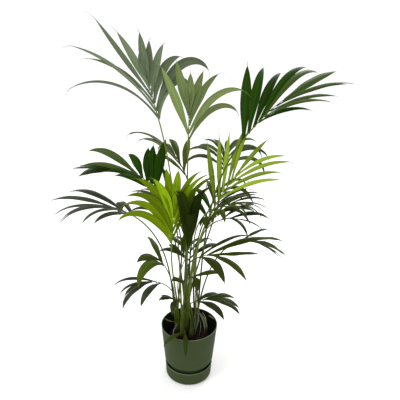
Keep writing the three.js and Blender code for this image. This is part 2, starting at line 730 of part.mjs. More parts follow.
// The rounded edge under the reservoir's belly, as a quarter of an ellipse.
const reservoirRound = [30, 60, 90].map((degrees) => [
  mix(RESERVOIR.footRadius, RESERVOIR.bellyRadius - 1, Math.sin(radians(degrees))),
  RESERVOIR.footRound * (1 - Math.cos(radians(degrees))),
]);
const inwards = (round) => round.map(([r, h]) => [r - RESERVOIR.wall, h + RESERVOIR.floor]).reverse();
solids.set(
  "reservoir",
  turned(
    [
      [0, 0],
      [RESERVOIR.footRadius, 0],
      ...reservoirRound,
      [RESERVOIR.bellyRadius, RESERVOIR.bellyHeight],
      [RESERVOIR.lipRadius, RESERVOIR.lipHeight - RESERVOIR.lipRound],
      [RESERVOIR.lipRadius - RESERVOIR.lipRound, RESERVOIR.lipHeight],
      [RESERVOIR.lipRadius - RESERVOIR.wall, RESERVOIR.lipHeight],
      [RESERVOIR.bellyRadius - RESERVOIR.wall, RESERVOIR.bellyHeight],
      ...inwards(reservoirRound),
      [RESERVOIR.footRadius - RESERVOIR.wall, RESERVOIR.floor],
      [0, RESERVOIR.floor],
    ],
    POT.sides,
  ),
);

solids.set(
  "root_ball",
  turned(
    [
      [0, POT.floorHeight + GAP],
      [ROOT_BALL.bottomRadius, POT.floorHeight + GAP],
      [ROOT_BALL.topRadius, ROOT_BALL.topHeight - ROOT_BALL.edge],
      [ROOT_BALL.topRadius - ROOT_BALL.edge, ROOT_BALL.topHeight],
      [0, ROOT_BALL.topHeight],
    ],
    POT.sides,
  ),
);

// ---------------------------------------------------------------- stems, stalks and blades

const ways = []; // centre lines of stems, ribs and stalks, which new stalks keep clear of
const ground = ROOT_BALL.topHeight + GAP;

// A stem's radius at a share of its height: flared at the ground, then a slow taper.
function stemRadius(share, flareEnds) {
  if (share >= flareEnds) return mix(STEM.footRadius, STEM.topRadius, (share - flareEnds) / (1 - flareEnds));
  return mix(STEM.flareRadius, STEM.footRadius, Math.sin(((share / flareEnds) * Math.PI) / 2));
}

for (const stem of STEMS) {
  const foot = new THREE.Vector3(...stem.foot, ground);
  const top = vector(stem.top);
  const flareEnds = STEM.flareHeight / (top.z - foot.z);
  const points = Array.from({ length: STEM.steps + 1 }, (_, i) => foot.clone().lerp(top, i / STEM.steps));
  solids.set(stem.name, limb(points, (share) => stemRadius(share, flareEnds), STEM.sides, UP, UP));
  ways.push({ points: [foot, top], radii: [STEM.flareRadius, STEM.topRadius], stem: stem.name });
}

const all = [...FRONDS, ...SMALL_FRONDS];
const isSmall = (frond) => SMALL_FRONDS.includes(frond);
const sizeOf = (frond) => (isSmall(frond) ? THIN_STALK : STALK);
const bladeName = (frond) => (isSmall(frond) ? frond.name : `${frond.name}_blade`);
const plans = new Map(all.map((frond) => [frond.name, planFrond(frond)]));

const feet = new Map();
for (const stem of STEMS) {
  const carried = all.filter((frond) => frond.stem === stem.name);
  const radiusOf = (frond) => sizeOf(frond).footRadius;
  for (const [name, foot] of stalkFeet(stem, carried, radiusOf)) feet.set(name, foot);
}
for (const frond of all) if (frond.foot) feet.set(frond.name, new THREE.Vector3(...frond.foot, ground));

for (const frond of all) {
  const points = ribLine(plans.get(frond.name).rib, isSmall(frond) ? THIN_STALK.ribSteps : RACHIS.solidSteps);
  ways.push({ points, radii: [sizeOf(frond).tipRadius, RACHIS.tipRadius], frond: frond.name });
}

const ribs = new Map();
for (const frond of all) {
  const size = sizeOf(frond);
  const rib = plans.get(frond.name).rib;
  const others = ways.filter((way) => way.frond !== frond.name && way.stem !== frond.stem);
  const way = routeStalk(frond, feet.get(frond.name), [size.footRadius, size.tipRadius], others);
  ways.push({ points: way.points, radii: way.radii, frond: frond.name });
  if (isSmall(frond)) {
    const whole = [...way.points, ...ribLine(rib, THIN_STALK.ribSteps).slice(1)];
    ribs.set(frond.name, limb(whole, taper([size.footRadius, RACHIS.tipRadius]), STALK.sides, UP));
  } else {
    const stalk = limb(way.points, taper(way.radii), STALK.sides, UP, rib.directions[0]);
    solids.set(`${frond.name}_stalk`, stalk);
    ribs.set(frond.name, ribSolid(rib));
  }
}

// Every leaflet keeps clear of what stands already: pot, stems, stalks, all ribs and the blades before it.
for (const frond of all) {
  const later = all.filter((other) => other !== frond && !solids.has(bladeName(other)));
  const others = [...solids.values(), ...later.map((other) => ribs.get(other.name))];
  solids.set(bladeName(frond), bladeSolid(plans.get(frond.name), ribs.get(frond.name), others));
}

// ---------------------------------------------------------------- the model

const FINISHES = {
  pot: { color: 0x48543c, roughness: 0.55 },
  reservoir: { color: 0x48543c, roughness: 0.55 },
  root_ball: { color: 0x2e1814, roughness: 0.95 },
  stem: { color: 0x5a6a30, roughness: 0.6 },
  stalk: { color: 0x5f7a2c, roughness: 0.5 },
};

// The material of a node, by its name.
function finishOf(name) {
  const frond = all.find((one) => bladeName(one) === name);
  if (frond) return { color: TONES[frond.tone], roughness: 0.5 };
  return FINISHES[Object.keys(FINISHES).find((kind) => name.includes(kind))];
}

const palm = new THREE.Group();
for (const [name, solid] of solids) {
  const material = new THREE.MeshStandardMaterial({ ...finishOf(name), metalness: 0 });
  const mesh = new THREE.Mesh(geometryOf(solid), material);
  mesh.name = name;
  palm.add(mesh);
}

export default palm;
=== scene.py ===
"""A kentia palm in its self-watering pot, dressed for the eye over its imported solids.

The palm's rule is told in millimetres, as a grower measures it. Every mesh is in metres, +Z up, and the
origin is the middle of the pot's flat underside. -Y is the front.
"""
import itertools
import logging
import math
from dataclasses import dataclass, field
from enum import Enum
from typing import Callable, Optional, Sequence

import bpy
import numpy as np
from mathutils import Matrix, Vector, noise
from mathutils.bvhtree import BVHTree


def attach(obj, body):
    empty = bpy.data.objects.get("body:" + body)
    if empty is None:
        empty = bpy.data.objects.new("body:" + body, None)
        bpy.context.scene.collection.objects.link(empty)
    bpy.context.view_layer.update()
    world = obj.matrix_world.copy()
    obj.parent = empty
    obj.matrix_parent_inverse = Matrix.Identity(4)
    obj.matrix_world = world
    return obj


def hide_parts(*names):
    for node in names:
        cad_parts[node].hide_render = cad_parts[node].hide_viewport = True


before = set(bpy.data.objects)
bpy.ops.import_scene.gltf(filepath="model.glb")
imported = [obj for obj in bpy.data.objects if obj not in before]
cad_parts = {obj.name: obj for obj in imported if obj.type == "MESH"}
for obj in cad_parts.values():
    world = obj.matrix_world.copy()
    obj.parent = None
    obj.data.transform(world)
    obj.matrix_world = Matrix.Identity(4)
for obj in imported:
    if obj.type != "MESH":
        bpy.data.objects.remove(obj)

logging.basicConfig(level=logging.INFO, format="%(message)s")
log = logging.getLogger("kentia_palm")

Vec = np.ndarray
Colour = tuple[float, float, float, float]
Outline = list[tuple[float, float]]

MM = 0.001
TURN = 2 * math.pi
UP = np.array([0.0, 0.0, 1.0])
DOWN = -UP
NO_DIRECTION = 0.05  # a crossed unit vector shorter than this gives no sure direction
TURNED_GIRTH = 0.7  # metres of surface pattern, once round a turned body
FLAT_TO_METRE = 10.0  # how far the flat places of a body seen from above run in a metre
MIX_BY, MIX_FROM, MIX_TO, MIXED = 0, 6, 7, 2  # the sockets of a mix of colours


# ---------------------------------------------------------------- small helpers


def vector(*values: float) -> Vec:
    """Returns the values as one vector."""
    return np.array(values, dtype=float)


def mix(a: float, b: float, share: float) -> float:
    """Returns the number a share of the way from a to b."""
    return a + (b - a) * share


def unit(v: Vec) -> Vec:
    """Returns a vector at length one."""
    return v / np.linalg.norm(v)


def square_to(v: Vec, direction: Vec) -> Vec:
    """Returns what is left of a vector once its part along a unit direction is taken out."""
    return v - direction * float(v @ direction)


def turned(v: Vec, axis: Vec, angle: float) -> Vec:
    """Returns a vector turned about a unit axis by an angle in radians."""
    c, s = math.cos(angle), math.sin(angle)
    return v * c + np.cross(axis, v) * s + axis * float(axis @ v) * (1 - c)


def on_ring(radius: float, turn: float, height: float) -> Vec:
    """Returns the point at a radius and an angle about the upright axis, at a height."""
    return vector(radius * math.cos(turn), radius * math.sin(turn), height)


def turns(sides: int) -> list[float]:
    """Returns the angles of a ring's points, in radians."""
    return [TURN * k / sides for k in range(sides)]


def arc(x: float, y: float, radius: float, degrees: Sequence[float]) -> Outline:
    """Returns the points of an arc about a centre, at each of the angles."""
    return [(x + radius * math.cos(math.radians(a)), y + radius * math.sin(math.radians(a))) for a in degrees]


def run_along(points: Vec) -> Vec:
    """Returns how far along a line each of its points lies."""
    return np.concatenate([[0.0], np.cumsum(np.linalg.norm(np.diff(points, axis=0), axis=1))])


def heading(azimuth: float, rise: float) -> Vec:
    """Returns the unit vector at an azimuth, 0 to the right and 90 to the back, and a rise in degrees."""
    a, e = math.radians(azimuth), math.radians(rise)
    return vector(math.cos(e) * math.cos(a), math.cos(e) * math.sin(a), math.sin(e))


def between(values: Vec | Sequence[float], share: float) -> Vec | float:
    """What stands a share of the way along a run of numbers or of points.

    Args:
        values: the numbers, or an array of points or directions.
        share: 0 at the first and 1 at the last.

    Returns:
        The value there, in a straight line between its neighbours.
    """
    last = len(values) - 1
    i = min(last - 1, math.floor(share * last))
    return mix(values[i], values[i + 1], share * last - i)


class Dice:
    """A repeatable run of random numbers, by the common congruential rule of 32 bits."""

    factor, step, span = 1664525, 1013904223, 2**32

    def __init__(self, seed: int) -> None:
        """Starts the run at a seed."""
        self.state = seed % self.span

    def swing(self) -> float:
        """Returns the next number, from -1 to 1."""
        self.state = (self.state * self.factor + self.step) % self.span
        return self.state / self.span * 2 - 1

    def within(self, low: float, high: float) -> float:
        """Returns the next number, from low to high."""
        return mix(low, high, (self.swing() + 1) / 2)


# ---------------------------------------------------------------- finishes


def linear(colour: str) -> Colour:
    """Turns an sRGB hex colour into linear light.

    Args:
        colour: six hex digits, such as "48543c".

    Returns:
        Linear red, green, blue and an alpha of 1.
    """
    parts = [int(colour[i : i + 2], 16) / 255 for i in (0, 2, 4)]
    light = [c / 12.92 if c <= 0.04045 else ((c + 0.055) / 1.055) ** 2.4 for c in parts]
    return (light[0], light[1], light[2], 1.0)


def lit(colour: Colour, gain: float, lift: float = 0.0) -> Colour:
    """Returns a linear colour with its light scaled and lifted, white at most."""
    return tuple(min(1.0, c * gain + lift) for c in colour[:3]) + (1.0,)


def per_metre(size_mm: float) -> float:
    """Returns how often a pattern of a size in millimetres comes in a metre."""
    return 1 / (size_mm * MM)


def fit_node(
    tree: bpy.types.NodeTree,
    node: bpy.types.Node,
    settings: Optional[dict] = None,
    links: Optional[dict] = None,
) -> bpy.types.Node:
    """Gives a node its settings and links.

    Args:
        tree: the material's node tree.
        node: the node.
        settings: values by socket name, socket number or property name.
        links: output sockets by the name or number of the socket that they feed.

    Returns:
        The node.
    """
    for key, value in (settings or {}).items():
        if isinstance(key, int) or key in node.inputs:
            node.inputs[key].default_value = value
        else:
            setattr(node, key, value)
    for key, source in (links or {}).items():
        tree.links.new(source, node.inputs[key])
    return node


def add_node(
    tree: bpy.types.NodeTree, kind: str, settings: Optional[dict] = None, links: Optional[dict] = None
) -> bpy.types.Node:
    """Adds a node of a kind, with settings and links as fit_node takes them, and returns it."""
    return fit_node(tree, tree.nodes.new(kind), settings, links)


def new_material(name: str) -> tuple[bpy.types.Material, bpy.types.NodeTree, bpy.types.Node]:
    """Makes an empty material with one principled shader.

    Args:
        name: the material's name.

    Returns:
        The material, its node tree and the shader.
    """
    material = bpy.data.materials.new(name)
    material.use_nodes = True
    tree = material.node_tree
    tree.nodes.clear()
    shader = add_node(tree, "ShaderNodeBsdfPrincipled")
    add_node(tree, "ShaderNodeOutputMaterial", links={"Surface": shader.outputs["BSDF"]})
    return material, tree, shader


def wear_pattern(
    tree: bpy.types.NodeTree,
    shader: bpy.types.Node,
    tinted_by: bpy.types.NodeSocket,
    colours: tuple[str, str],
    raised_by: bpy.types.NodeSocket,
    relief: tuple[float, float],
) -> bpy.types.NodeSocket:
    """Lets a surface's patterns run it from one colour to another and raise it.

    Args:
        tree: the material's node tree.
        shader: its principled shader.
        tinted_by: the pattern that runs from the first colour to the second.
        colours: the two colours, in sRGB hex.
        raised_by: the pattern that stands out.
        relief: how strongly it does, from 0 to 1, and its height in millimetres.

    Returns:
        The socket that gives the mixed colours.
    """
    ends = {"data_type": "RGBA", MIX_FROM: linear(colours[0]), MIX_TO: linear(colours[1])}
    tint = add_node(tree, "ShaderNodeMix", ends, {MIX_BY: tinted_by})
    size = {"Strength": relief[0], "Distance": relief[1] * MM}
    bump = add_node(tree, "ShaderNodeBump", size, {"Height": raised_by})
    fit_node(tree, shader, links={"Base Color": tint.outputs[MIXED], "Normal": bump.outputs["Normal"]})
    return tint.outputs[MIXED]


@dataclass(frozen=True)
class MouldedPolypropylene:
    """Recycled polypropylene, injection moulded and left matt from an eroded tool."""

    name: str
    colour: str = "333e25"
    paler: str = "394429"
    grit_mm: float = 0.9  # the tool's erosion is about 0.1 mm; drawn coarser so that it shows
    flow_mm: float = 71.4  # the slow drift of colour in the melt
    relief: tuple[float, float] = (0.12, 0.2)
    roughness: tuple[float, float] = (0.5, 0.63)  # in the grit's dips and on its tops
    ior: float = 1.49
    gloss: float = 0.06

    def make(self) -> bpy.types.Material:
        """Makes the matt plastic, with the tool's grit and the slow drift in its melt.

        Returns:
            The material.
        """
        material, tree, shader = new_material(self.name)
        # The matt tool finish scatters light evenly and gives broad, soft highlights at grazing angles.
        place = {"Vector": add_node(tree, "ShaderNodeTexCoord").outputs["Object"]}
        grain = {"Scale": per_metre(self.grit_mm), "Detail": 2.0, "Roughness": 0.6}
        grit = add_node(tree, "ShaderNodeTexNoise", grain, place).outputs["Fac"]
        drift = {"Scale": per_metre(self.flow_mm), "Detail": 2.0}
        flow = add_node(tree, "ShaderNodeTexNoise", drift, place).outputs["Fac"]
        wear_pattern(tree, shader, flow, (self.colour, self.paler), grit, self.relief)
        least, most = self.roughness
        rough = add_node(tree, "ShaderNodeMapRange", {"To Min": least, "To Max": most}, {"Value": grit})
        settings = {"IOR": self.ior, "Specular IOR Level": self.gloss}
        fit_node(tree, shader, settings, {"Roughness": rough.outputs["Result"]})
        return material


@dataclass(frozen=True)
class PottingCompost:
    """Moist peat-free compost: crumbs and fibre, nearly black with a red-brown cast."""

    name: str = "moist_compost"
    dark: str = "100805"
    light: str = "2a160e"
    crumb_mm: float = 3.0
    relief: tuple[float, float] = (0.8, 1.5)
    roughness: float = 0.82
    gloss: float = 0.12

    def make(self) -> bpy.types.Material:
        """Makes the damp, crumbly compost.

        Returns:
            The material.
        """
        material, tree, shader = new_material(self.name)
        # Wet crumbs swallow light between them and glint a little on top.
        place = {"Vector": add_node(tree, "ShaderNodeTexCoord").outputs["Object"]}
        grain = {"Scale": per_metre(self.crumb_mm), "Detail": 6.0, "Roughness": 0.7}
        crumbs = add_node(tree, "ShaderNodeTexNoise", grain, place).outputs["Fac"]
        wear_pattern(tree, shader, crumbs, (self.dark, self.light), crumbs, self.relief)
        fit_node(tree, shader, {"Roughness": self.roughness, "Specular IOR Level": self.gloss})
        return material


@dataclass(frozen=True)
class Green:
    """A leaf's colours and how it shines."""

    upper: str
    # the lower face: paler as a kentia's underside is, and lifted further with painted light that shines
    # through the leaf
    lower: str
    slot: str  # the record's material slot
    gloss: float  # specular level of the waxed upper face
    roughness: float


class Tone(Enum):
    """The greens in the crown, roughly from the palest to the deepest."""

    # The lime greens are partly the young leaves' own colour and partly painted light that shines through
    # them.
    LEMON = Green("7a9602", "7e9c0a", "leaf_lime", 0.1, 0.42)
    LIME = Green("627a00", "667e02", "leaf_lime", 0.1, 0.42)
    SPRING = Green("7c9420", "84a02a", "leaf_lime", 0.12, 0.42)
    MID = Green("6c8442", "7c8e54", "leaf_mid", 0.2, 0.42)
    GREY = Green("5c6e4c", "6a785a", "leaf_grey", 0.3, 0.45)
    SAGE = Green("44522c", "54623a", "leaf_olive", 0.2, 0.42)
    HEATH = Green("34480e", "4a5c2a", "leaf_olive", 0.16, 0.42)
    FERN = Green("3c4c0a", "4e6018", "leaf_olive", 0.1, 0.42)
    MOSS = Green("313e04", "42500c", "leaf_olive", 0.08, 0.42)
    SLATE = Green("2a321c", "3a4428", "leaf_olive", 0.22, 0.38)
    OLIVE = Green("2a360c", "38461a", "leaf_olive", 0.12, 0.38)
    DARK = Green("1d3a00", "35491a", "leaf_dark", 0.04, 0.36)
    DEEP = Green("1a2600", "263404", "leaf_dark", 0.08, 0.36)


class Face(Enum):
    """The two faces of a leaflet, as the number of each one's finish."""

    UPPER = 0
    LOWER = 1


class Age(Enum):
    """A leaflet's age, as the share of its green's light that it keeps."""

    YOUNG = 1.16
    GROWN = 0.96
    OLD = 0.7


@dataclass(frozen=True)
class PalmLeaf:
    """Living palm leaf: tough, waxed above and matt below, with fine veins along its length."""

    tone: Tone
    face: Face
    age: Age
    veins: float = 13.0  # ribs of veins that show across a leaflet of about 30 mm
    drift_mm: float = 45.0  # the green drifts over spans of a leaflet's width or more
    shade: float = 0.78  # the share of its light that the green keeps where it is darkest
    rib_gain: float = 1.6  # how much paler the midrib is
    rib_lift: float = 0.008
    vein_mm: float = 0.3  # the height of a vein
    relief: tuple[float, float] = (0.25, 0.4)  # how strongly the veins stand out, above and below
    shine: tuple[float, float] = (1.0, 0.5)  # the share of the green's gloss, above and below
    duller: tuple[float, float] = (0.0, 0.18)  # added roughness, above and below
    roughness: tuple[float, float] = (-0.06, 0.08)  # how far the drift takes it from the green's own
    ior: float = 1.43  # of leaf wax

    @property
    def name(self) -> str:
        """The material's name."""
        return f"palm_leaf_{self.tone.name}_{self.age.name}_{self.face.name}".lower()

    def make(self) -> bpy.types.Material:
        """Makes one face of a leaflet, with its veins, its midrib and the drift of its green.

        Returns:
            The material.
        """
        material, tree, shader = new_material(self.name)
        green, below = self.tone.value, self.face.value
        # The lower face's colour carries painted light that shines through the leaf.
        colour = lit(linear(green.lower if below else green.upper), self.age.value)
        # The wax gives a soft sheen above, broken by the veins; the paler midrib is a thin line.
        place = {"Vector": add_node(tree, "ShaderNodeTexCoord").outputs["Object"]}
        spans = {"Scale": per_metre(self.drift_mm), "Detail": 3.0, "Roughness": 0.6}
        drift = add_node(tree, "ShaderNodeTexNoise", spans, place).outputs["Fac"]
        flat = add_node(tree, "ShaderNodeUVMap", {"uv_map": "UVMap"})
        across = add_node(tree, "ShaderNodeSeparateXYZ", links={"Vector": flat.outputs["UV"]}).outputs["X"]
        waves = {"operation": "MULTIPLY", 1: self.veins * TURN}
        phase = add_node(tree, "ShaderNodeMath", waves, {0: across})
        vein = add_node(tree, "ShaderNodeMath", {"operation": "SINE"}, {0: phase.outputs[0]})
        off_rib = add_node(tree, "ShaderNodeMath", {"operation": "PINGPONG", 1: 0.5}, {0: across})
        line = {"From Min": 0.46, "From Max": 0.5, "To Min": 0.0, "To Max": 0.75}
        near_rib = add_node(tree, "ShaderNodeMapRange", line, {"Value": off_rib.outputs[0]})
        ends = {"data_type": "RGBA", MIX_FROM: lit(colour, self.shade), MIX_TO: colour}
        blade = add_node(tree, "ShaderNodeMix", ends, {MIX_BY: drift})
        rib = {"data_type": "RGBA", MIX_TO: lit(colour, self.rib_gain, self.rib_lift)}
        feeds = {MIX_BY: near_rib.outputs["Result"], MIX_FROM: blade.outputs[MIXED]}
        ribbed = add_node(tree, "ShaderNodeMix", rib, feeds)
        least, most = (green.roughness + drifts + self.duller[below] for drifts in self.roughness)
        rough = add_node(tree, "ShaderNodeMapRange", {"To Min": least, "To Max": most}, {"Value": drift})
        relief = {"Strength": self.relief[below], "Distance": self.vein_mm * MM}
        bump = add_node(tree, "ShaderNodeBump", relief, {"Height": vein.outputs[0]})
        fit_node(tree, shader, {"IOR": self.ior, "Specular IOR Level": green.gloss * self.shine[below]})
        fit_node(tree, shader, links={"Base Color": ribbed.outputs[MIXED], "Normal": bump.outputs["Normal"]})
        fit_node(tree, shader, links={"Roughness": rough.outputs["Result"]})
        return material


@dataclass(frozen=True)
class PalmStalk:
    """A palm's stalk, green to straw: smooth over long fibres, with fine lines along it."""

    name: str
    colour: str
    paler: str
    line_mm: float = 1.2
    line_run_mm: float = 60.0  # how far a line runs along the stalk
    relief: tuple[float, float] = (0.3, 0.3)
    roughness: float = 0.42
    gloss: float = 0.1

    def make(self) -> bpy.types.Material:
        """Makes the stalk's skin, with its lines.

        Returns:
            The material.
        """
        material, tree, shader = new_material(self.name)
        # Lengthwise fibres under a thin skin: soft gloss with faint pale streaks.
        flat = {"Vector": add_node(tree, "ShaderNodeUVMap", {"uv_map": "UVMap"}).outputs["UV"]}
        scale = {"Scale": (per_metre(self.line_mm), per_metre(self.line_run_mm), 1.0)}
        along = {"Vector": add_node(tree, "ShaderNodeMapping", scale, flat).outputs["Vector"]}
        grain = {"Scale": 1.0, "Detail": 3.0, "Roughness": 0.6}
        lines = add_node(tree, "ShaderNodeTexNoise", grain, along).outputs["Fac"]
        wear_pattern(tree, shader, lines, (self.colour, self.paler), lines, self.relief)
        fit_node(tree, shader, {"Roughness": self.roughness, "Specular IOR Level": self.gloss})
        return material


@dataclass(frozen=True)
class FibrousSheath:
    """A palm stem in its leaf sheaths: green above, brown and stringy towards the ground."""

    name: str = "fibrous_sheath"
    green: str = "34400e"
    pale: str = "5c6826"
    brown: str = "2a1d10"
    fibre_mm: float = 1.0
    fibre_run_mm: float = 35.0  # how far a fibre runs up the stem
    brown_below_mm: float = 235.0
    green_above_mm: float = 265.0
    ragged_mm: float = 45.0  # how far the fibres carry the brown's edge up and down
    relief: tuple[float, float] = (0.7, 0.8)
    roughness: float = 0.6
    gloss: float = 0.2

    def make(self) -> bpy.types.Material:
        """Makes the fibres, brown at the foot and green above.

        Returns:
            The material.
        """
        material, tree, shader = new_material(self.name)
        # Dry fibres run up the stem, so the brown foot looks combed and the green top is smoother.
        flat = {"Vector": add_node(tree, "ShaderNodeUVMap", {"uv_map": "UVMap"}).outputs["UV"]}
        scale = {"Scale": (per_metre(self.fibre_mm), per_metre(self.fibre_run_mm), 1.0)}
        along = {"Vector": add_node(tree, "ShaderNodeMapping", scale, flat).outputs["Vector"]}
        grain = {"Scale": 1.0, "Detail": 4.0, "Roughness": 0.65}
        fibres = add_node(tree, "ShaderNodeTexNoise", grain, along).outputs["Fac"]
        greens = wear_pattern(tree, shader, fibres, (self.green, self.pale), fibres, self.relief)
        place = add_node(tree, "ShaderNodeTexCoord").outputs["Object"]
        level = add_node(tree, "ShaderNodeSeparateXYZ", links={"Vector": place}).outputs["Z"]
        shift = {"operation": "MULTIPLY_ADD", 1: self.ragged_mm * MM}
        ragged = add_node(tree, "ShaderNodeMath", shift, {0: fibres, 2: level})
        fade = {"From Min": self.brown_below_mm * MM, "From Max": self.green_above_mm * MM}
        height = add_node(tree, "ShaderNodeMapRange", fade, {"Value": ragged.outputs[0]})
        foot = {"data_type": "RGBA", MIX_FROM: linear(self.brown)}
        tint = add_node(tree, "ShaderNodeMix", foot, {MIX_BY: height.outputs["Result"], MIX_TO: greens})
        settings = {"Roughness": self.roughness, "Specular IOR Level": self.gloss}
        fit_node(tree, shader, settings, {"Base Color": tint.outputs[MIXED]})
        return material


@dataclass(frozen=True)
class DryLeaf:
    """Dead palm leaf: papery, tan to grey-brown, its shade drifting slowly along it."""

    name: str
    colour: str
    darker: str
    patch_mm: tuple[float, float] = (143.0, 667.0)  # a patch of one shade, across the strip and along it
    relief: tuple[float, float] = (0.5, 0.4)
    roughness: float = 0.72

    def make(self) -> bpy.types.Material:
        """Makes the dull, papery leaf.

        Returns:
            The material.
        """
        material, tree, shader = new_material(self.name)
        # The dried tissue is dull all over and gives hardly any highlight.
        flat = {"Vector": add_node(tree, "ShaderNodeUVMap", {"uv_map": "UVMap"}).outputs["UV"]}
        scale = {"Scale": (*map(per_metre, self.patch_mm), 1.0)}
        along = {"Vector": add_node(tree, "ShaderNodeMapping", scale, flat).outputs["Vector"]}
        grain = {"Scale": 1.0, "Detail": 4.0, "Roughness": 0.6}
        shades = add_node(tree, "ShaderNodeTexNoise", grain, along).outputs["Fac"]
        wear_pattern(tree, shader, shades, (self.darker, self.colour), shades, self.relief)
        fit_node(tree, shader, {"Roughness": self.roughness})
        return material


@dataclass(frozen=True)
class StudioPaper:
    """A matt white paper sweep under the pot."""

    name: str = "white_paper"
    colour: str = "fcfcfb"
    roughness: float = 0.9

    def make(self) -> bpy.types.Material:
        """Makes the plain paper.

        Returns:
            The material.
        """
        material, tree, shader = new_material(self.name)
        # Paper scatters all light and shows no highlight.
        fit_node(tree, shader, {"Base Color": linear(self.colour), "Roughness": self.roughness})
        return material


# ---------------------------------------------------------------- meshes


@dataclass
class MeshSketch:
    """A mesh as it is drawn: points in metres, faces, a flat place for each corner, and a finish a face."""

    points: list[Vec] = field(default_factory=list)
    faces: list[tuple[int, ...]] = field(default_factory=list)
    places: list[tuple[float, float]] = field(default_factory=list)
    finishes: list[int] = field(default_factory=list)

    def add(
        self,
        points: Sequence[Vec],
        faces: Sequence[tuple[int, ...]],
        places: Sequence[tuple[float, float]],
        finishes: Sequence[int] | int = 0,
    ) -> None:
        """Adds a body to the sketch.

        Args:
            points: its points, in metres.
            faces: its faces, as point numbers that start from 0.
            places: one flat place for each corner of each face, in order.
            finishes: the material number of each face, or one for all.
        """
        first = len(self.points)
        self.points.extend(points)
        self.faces.extend(tuple(first + k for k in face) for face in faces)
        self.places.extend(places)
        self.finishes.extend([finishes] * len(faces) if isinstance(finishes, int) else finishes)

    def piece(
        self,
        name: str,
        materials: Sequence[bpy.types.Material],
        slot: str,
        replaces: Sequence[str] = (),
        crease: float = 60.0,
    ) -> None:
        """Makes the piece of the scene that the sketch describes, riding on the palm's body.

        Args:
            name: the piece's name.
            materials: its materials, in the order that the finishes count.
            slot: the record's material slot; not used.
            replaces: the CAD nodes that it stands for.
            crease: edges sharper than this many degrees are shaded as edges.
        """
        mesh = bpy.data.meshes.new(name)
        mesh.from_pydata([tuple(p) for p in self.points], [], self.faces)
        layer = mesh.uv_layers.new(name="UVMap")
        layer.data.foreach_set("uv", np.array(self.places, dtype=np.float32).ravel())
        mesh.polygons.foreach_set("material_index", np.array(self.finishes, dtype=np.int32))
        mesh.shade_smooth()
        mesh.set_sharp_from_angle(angle=math.radians(crease))
        for material in materials:
            mesh.materials.append(material)
        mesh.validate()
        made = bpy.data.objects.new(name, mesh)
        bpy.context.scene.collection.objects.link(made)
        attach(made, "root")
        if replaces:
            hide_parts(*replaces)
        log.info("%s: %d faces", name, len(self.faces))


def sweep(
    sketch: MeshSketch,
    points: Vec,
    section: Callable[[int, float], tuple[float, float]],
    sides: int,
    first_across: Vec,
    finish: int = 0,
) -> None:
    """Adds a closed limb along a line, with a section of any outline.

    Args:
        sketch: the sketch that it goes into.
        points: the line, in millimetres.
        section: for a side's number and the share of the way, its offset across and beside, in millimetres.
        sides: how many sides the section has.
        first_across: the direction that the section's first axis starts near.
        finish: the material number.
    """
    last = len(points) - 1
    run = run_along(points) * MM
    across = first_across
    rings: list[Vec] = []
    around = 0.0
    for i, point in enumerate(points):
        along = unit(points[min(last, i + 1)] - points[max(0, i - 1)])
        across = unit(square_to(across, along))
        beside = np.cross(along, across)
        offsets = [section(k, i / last) for k in range(sides)]
        rings.extend((point + across * a + beside * b) * MM for a, b in offsets)
        around = max(around, sides * float(np.linalg.norm(rings[-sides + 1] - rings[-sides])))
    faces: list[tuple[int, ...]] = []
    places: list[tuple[float, float]] = []
    for i in range(last):
        low, high = run[i], run[i + 1]
        for k in range(sides):
            a, b = i * sides + k, i * sides + (k + 1) % sides
            left, right = around * k / sides, around * (k + 1) / sides
            faces.append((a, b, b + sides, a + sides))
            places += [(left, low), (right, low), (right, high), (left, high)]
    for start, order in ((0, -1), (last * sides, 1)):
        middle = len(rings)
        rings.append(sum(rings[start : start + sides]) / sides)
        for k in range(sides):
            pair = (start + k, start + (k + 1) % sides)[::order]
            faces.append((*pair, middle))
            places += [(around * k / sides, run[-1])] * 3
    sketch.add(rings, faces, places, finish)


def lathe(
    sketch: MeshSketch, profile: Sequence[tuple[float, float]], sides: int, finishes: Sequence[int]
) -> None:
    """Adds a closed body turned about the upright axis.

    Args:
        sketch: the sketch that it goes into.
        profile: its outline as (radius, height) in millimetres, from the axis round and back to the axis.
        sides: how many sides the body has.
        finishes: the material number of each stretch of the outline.
    """
    rings: list[Vec] = []
    starts: list[int] = []
    for radius, height in profile:
        starts.append(len(rings))
        rings.extend(on_ring(radius, turn, height) * MM for turn in (turns(sides) if radius else [0.0]))
    run = run_along(np.array(profile, dtype=float)) * MM
    faces: list[tuple[int, ...]] = []
    places: list[tuple[float, float]] = []
    for i in range(len(profile) - 1):
        low, high = starts[i], starts[i + 1]
        for k in range(sides):
            n = (k + 1) % sides
            corners = [(low + k, k, i), (low + n, k + 1, i)] if profile[i][0] else [(low, k + 1, i)]
            upper = [(high + n, k + 1, i + 1), (high + k, k, i + 1)]
            corners += upper if profile[i + 1][0] else [(high, k + 1, i + 1)]
            faces.append(tuple(point for point, _, _ in corners))
            places += [(side / sides * TURNED_GIRTH, float(run[mark])) for _, side, mark in corners]
    sketch.add(rings, faces, places, [finish for finish in finishes for _ in range(sides)])


# ---------------------------------------------------------------- the palm's rule


@dataclass(frozen=True)
class Row:
    """One row of leaflets along a rib. Each run of values goes from its first leaflet to its last."""

    count: int
    spread: tuple[float, ...]  # angle off the rib, in degrees
    droop: tuple[float, ...]  # sag, in degrees
    share: tuple[float, ...] = (1.0, 1.0)  # of the frond's leaf length
    span: tuple[float, float] = (0.0, 0.92)  # the stretch of the rib that the row takes
    late: float = 1.6  # over 1 the leaflets turn mostly near their ends
    breadth: tuple[float, ...] = (1.0, 1.0)  # of the frond's leaf width


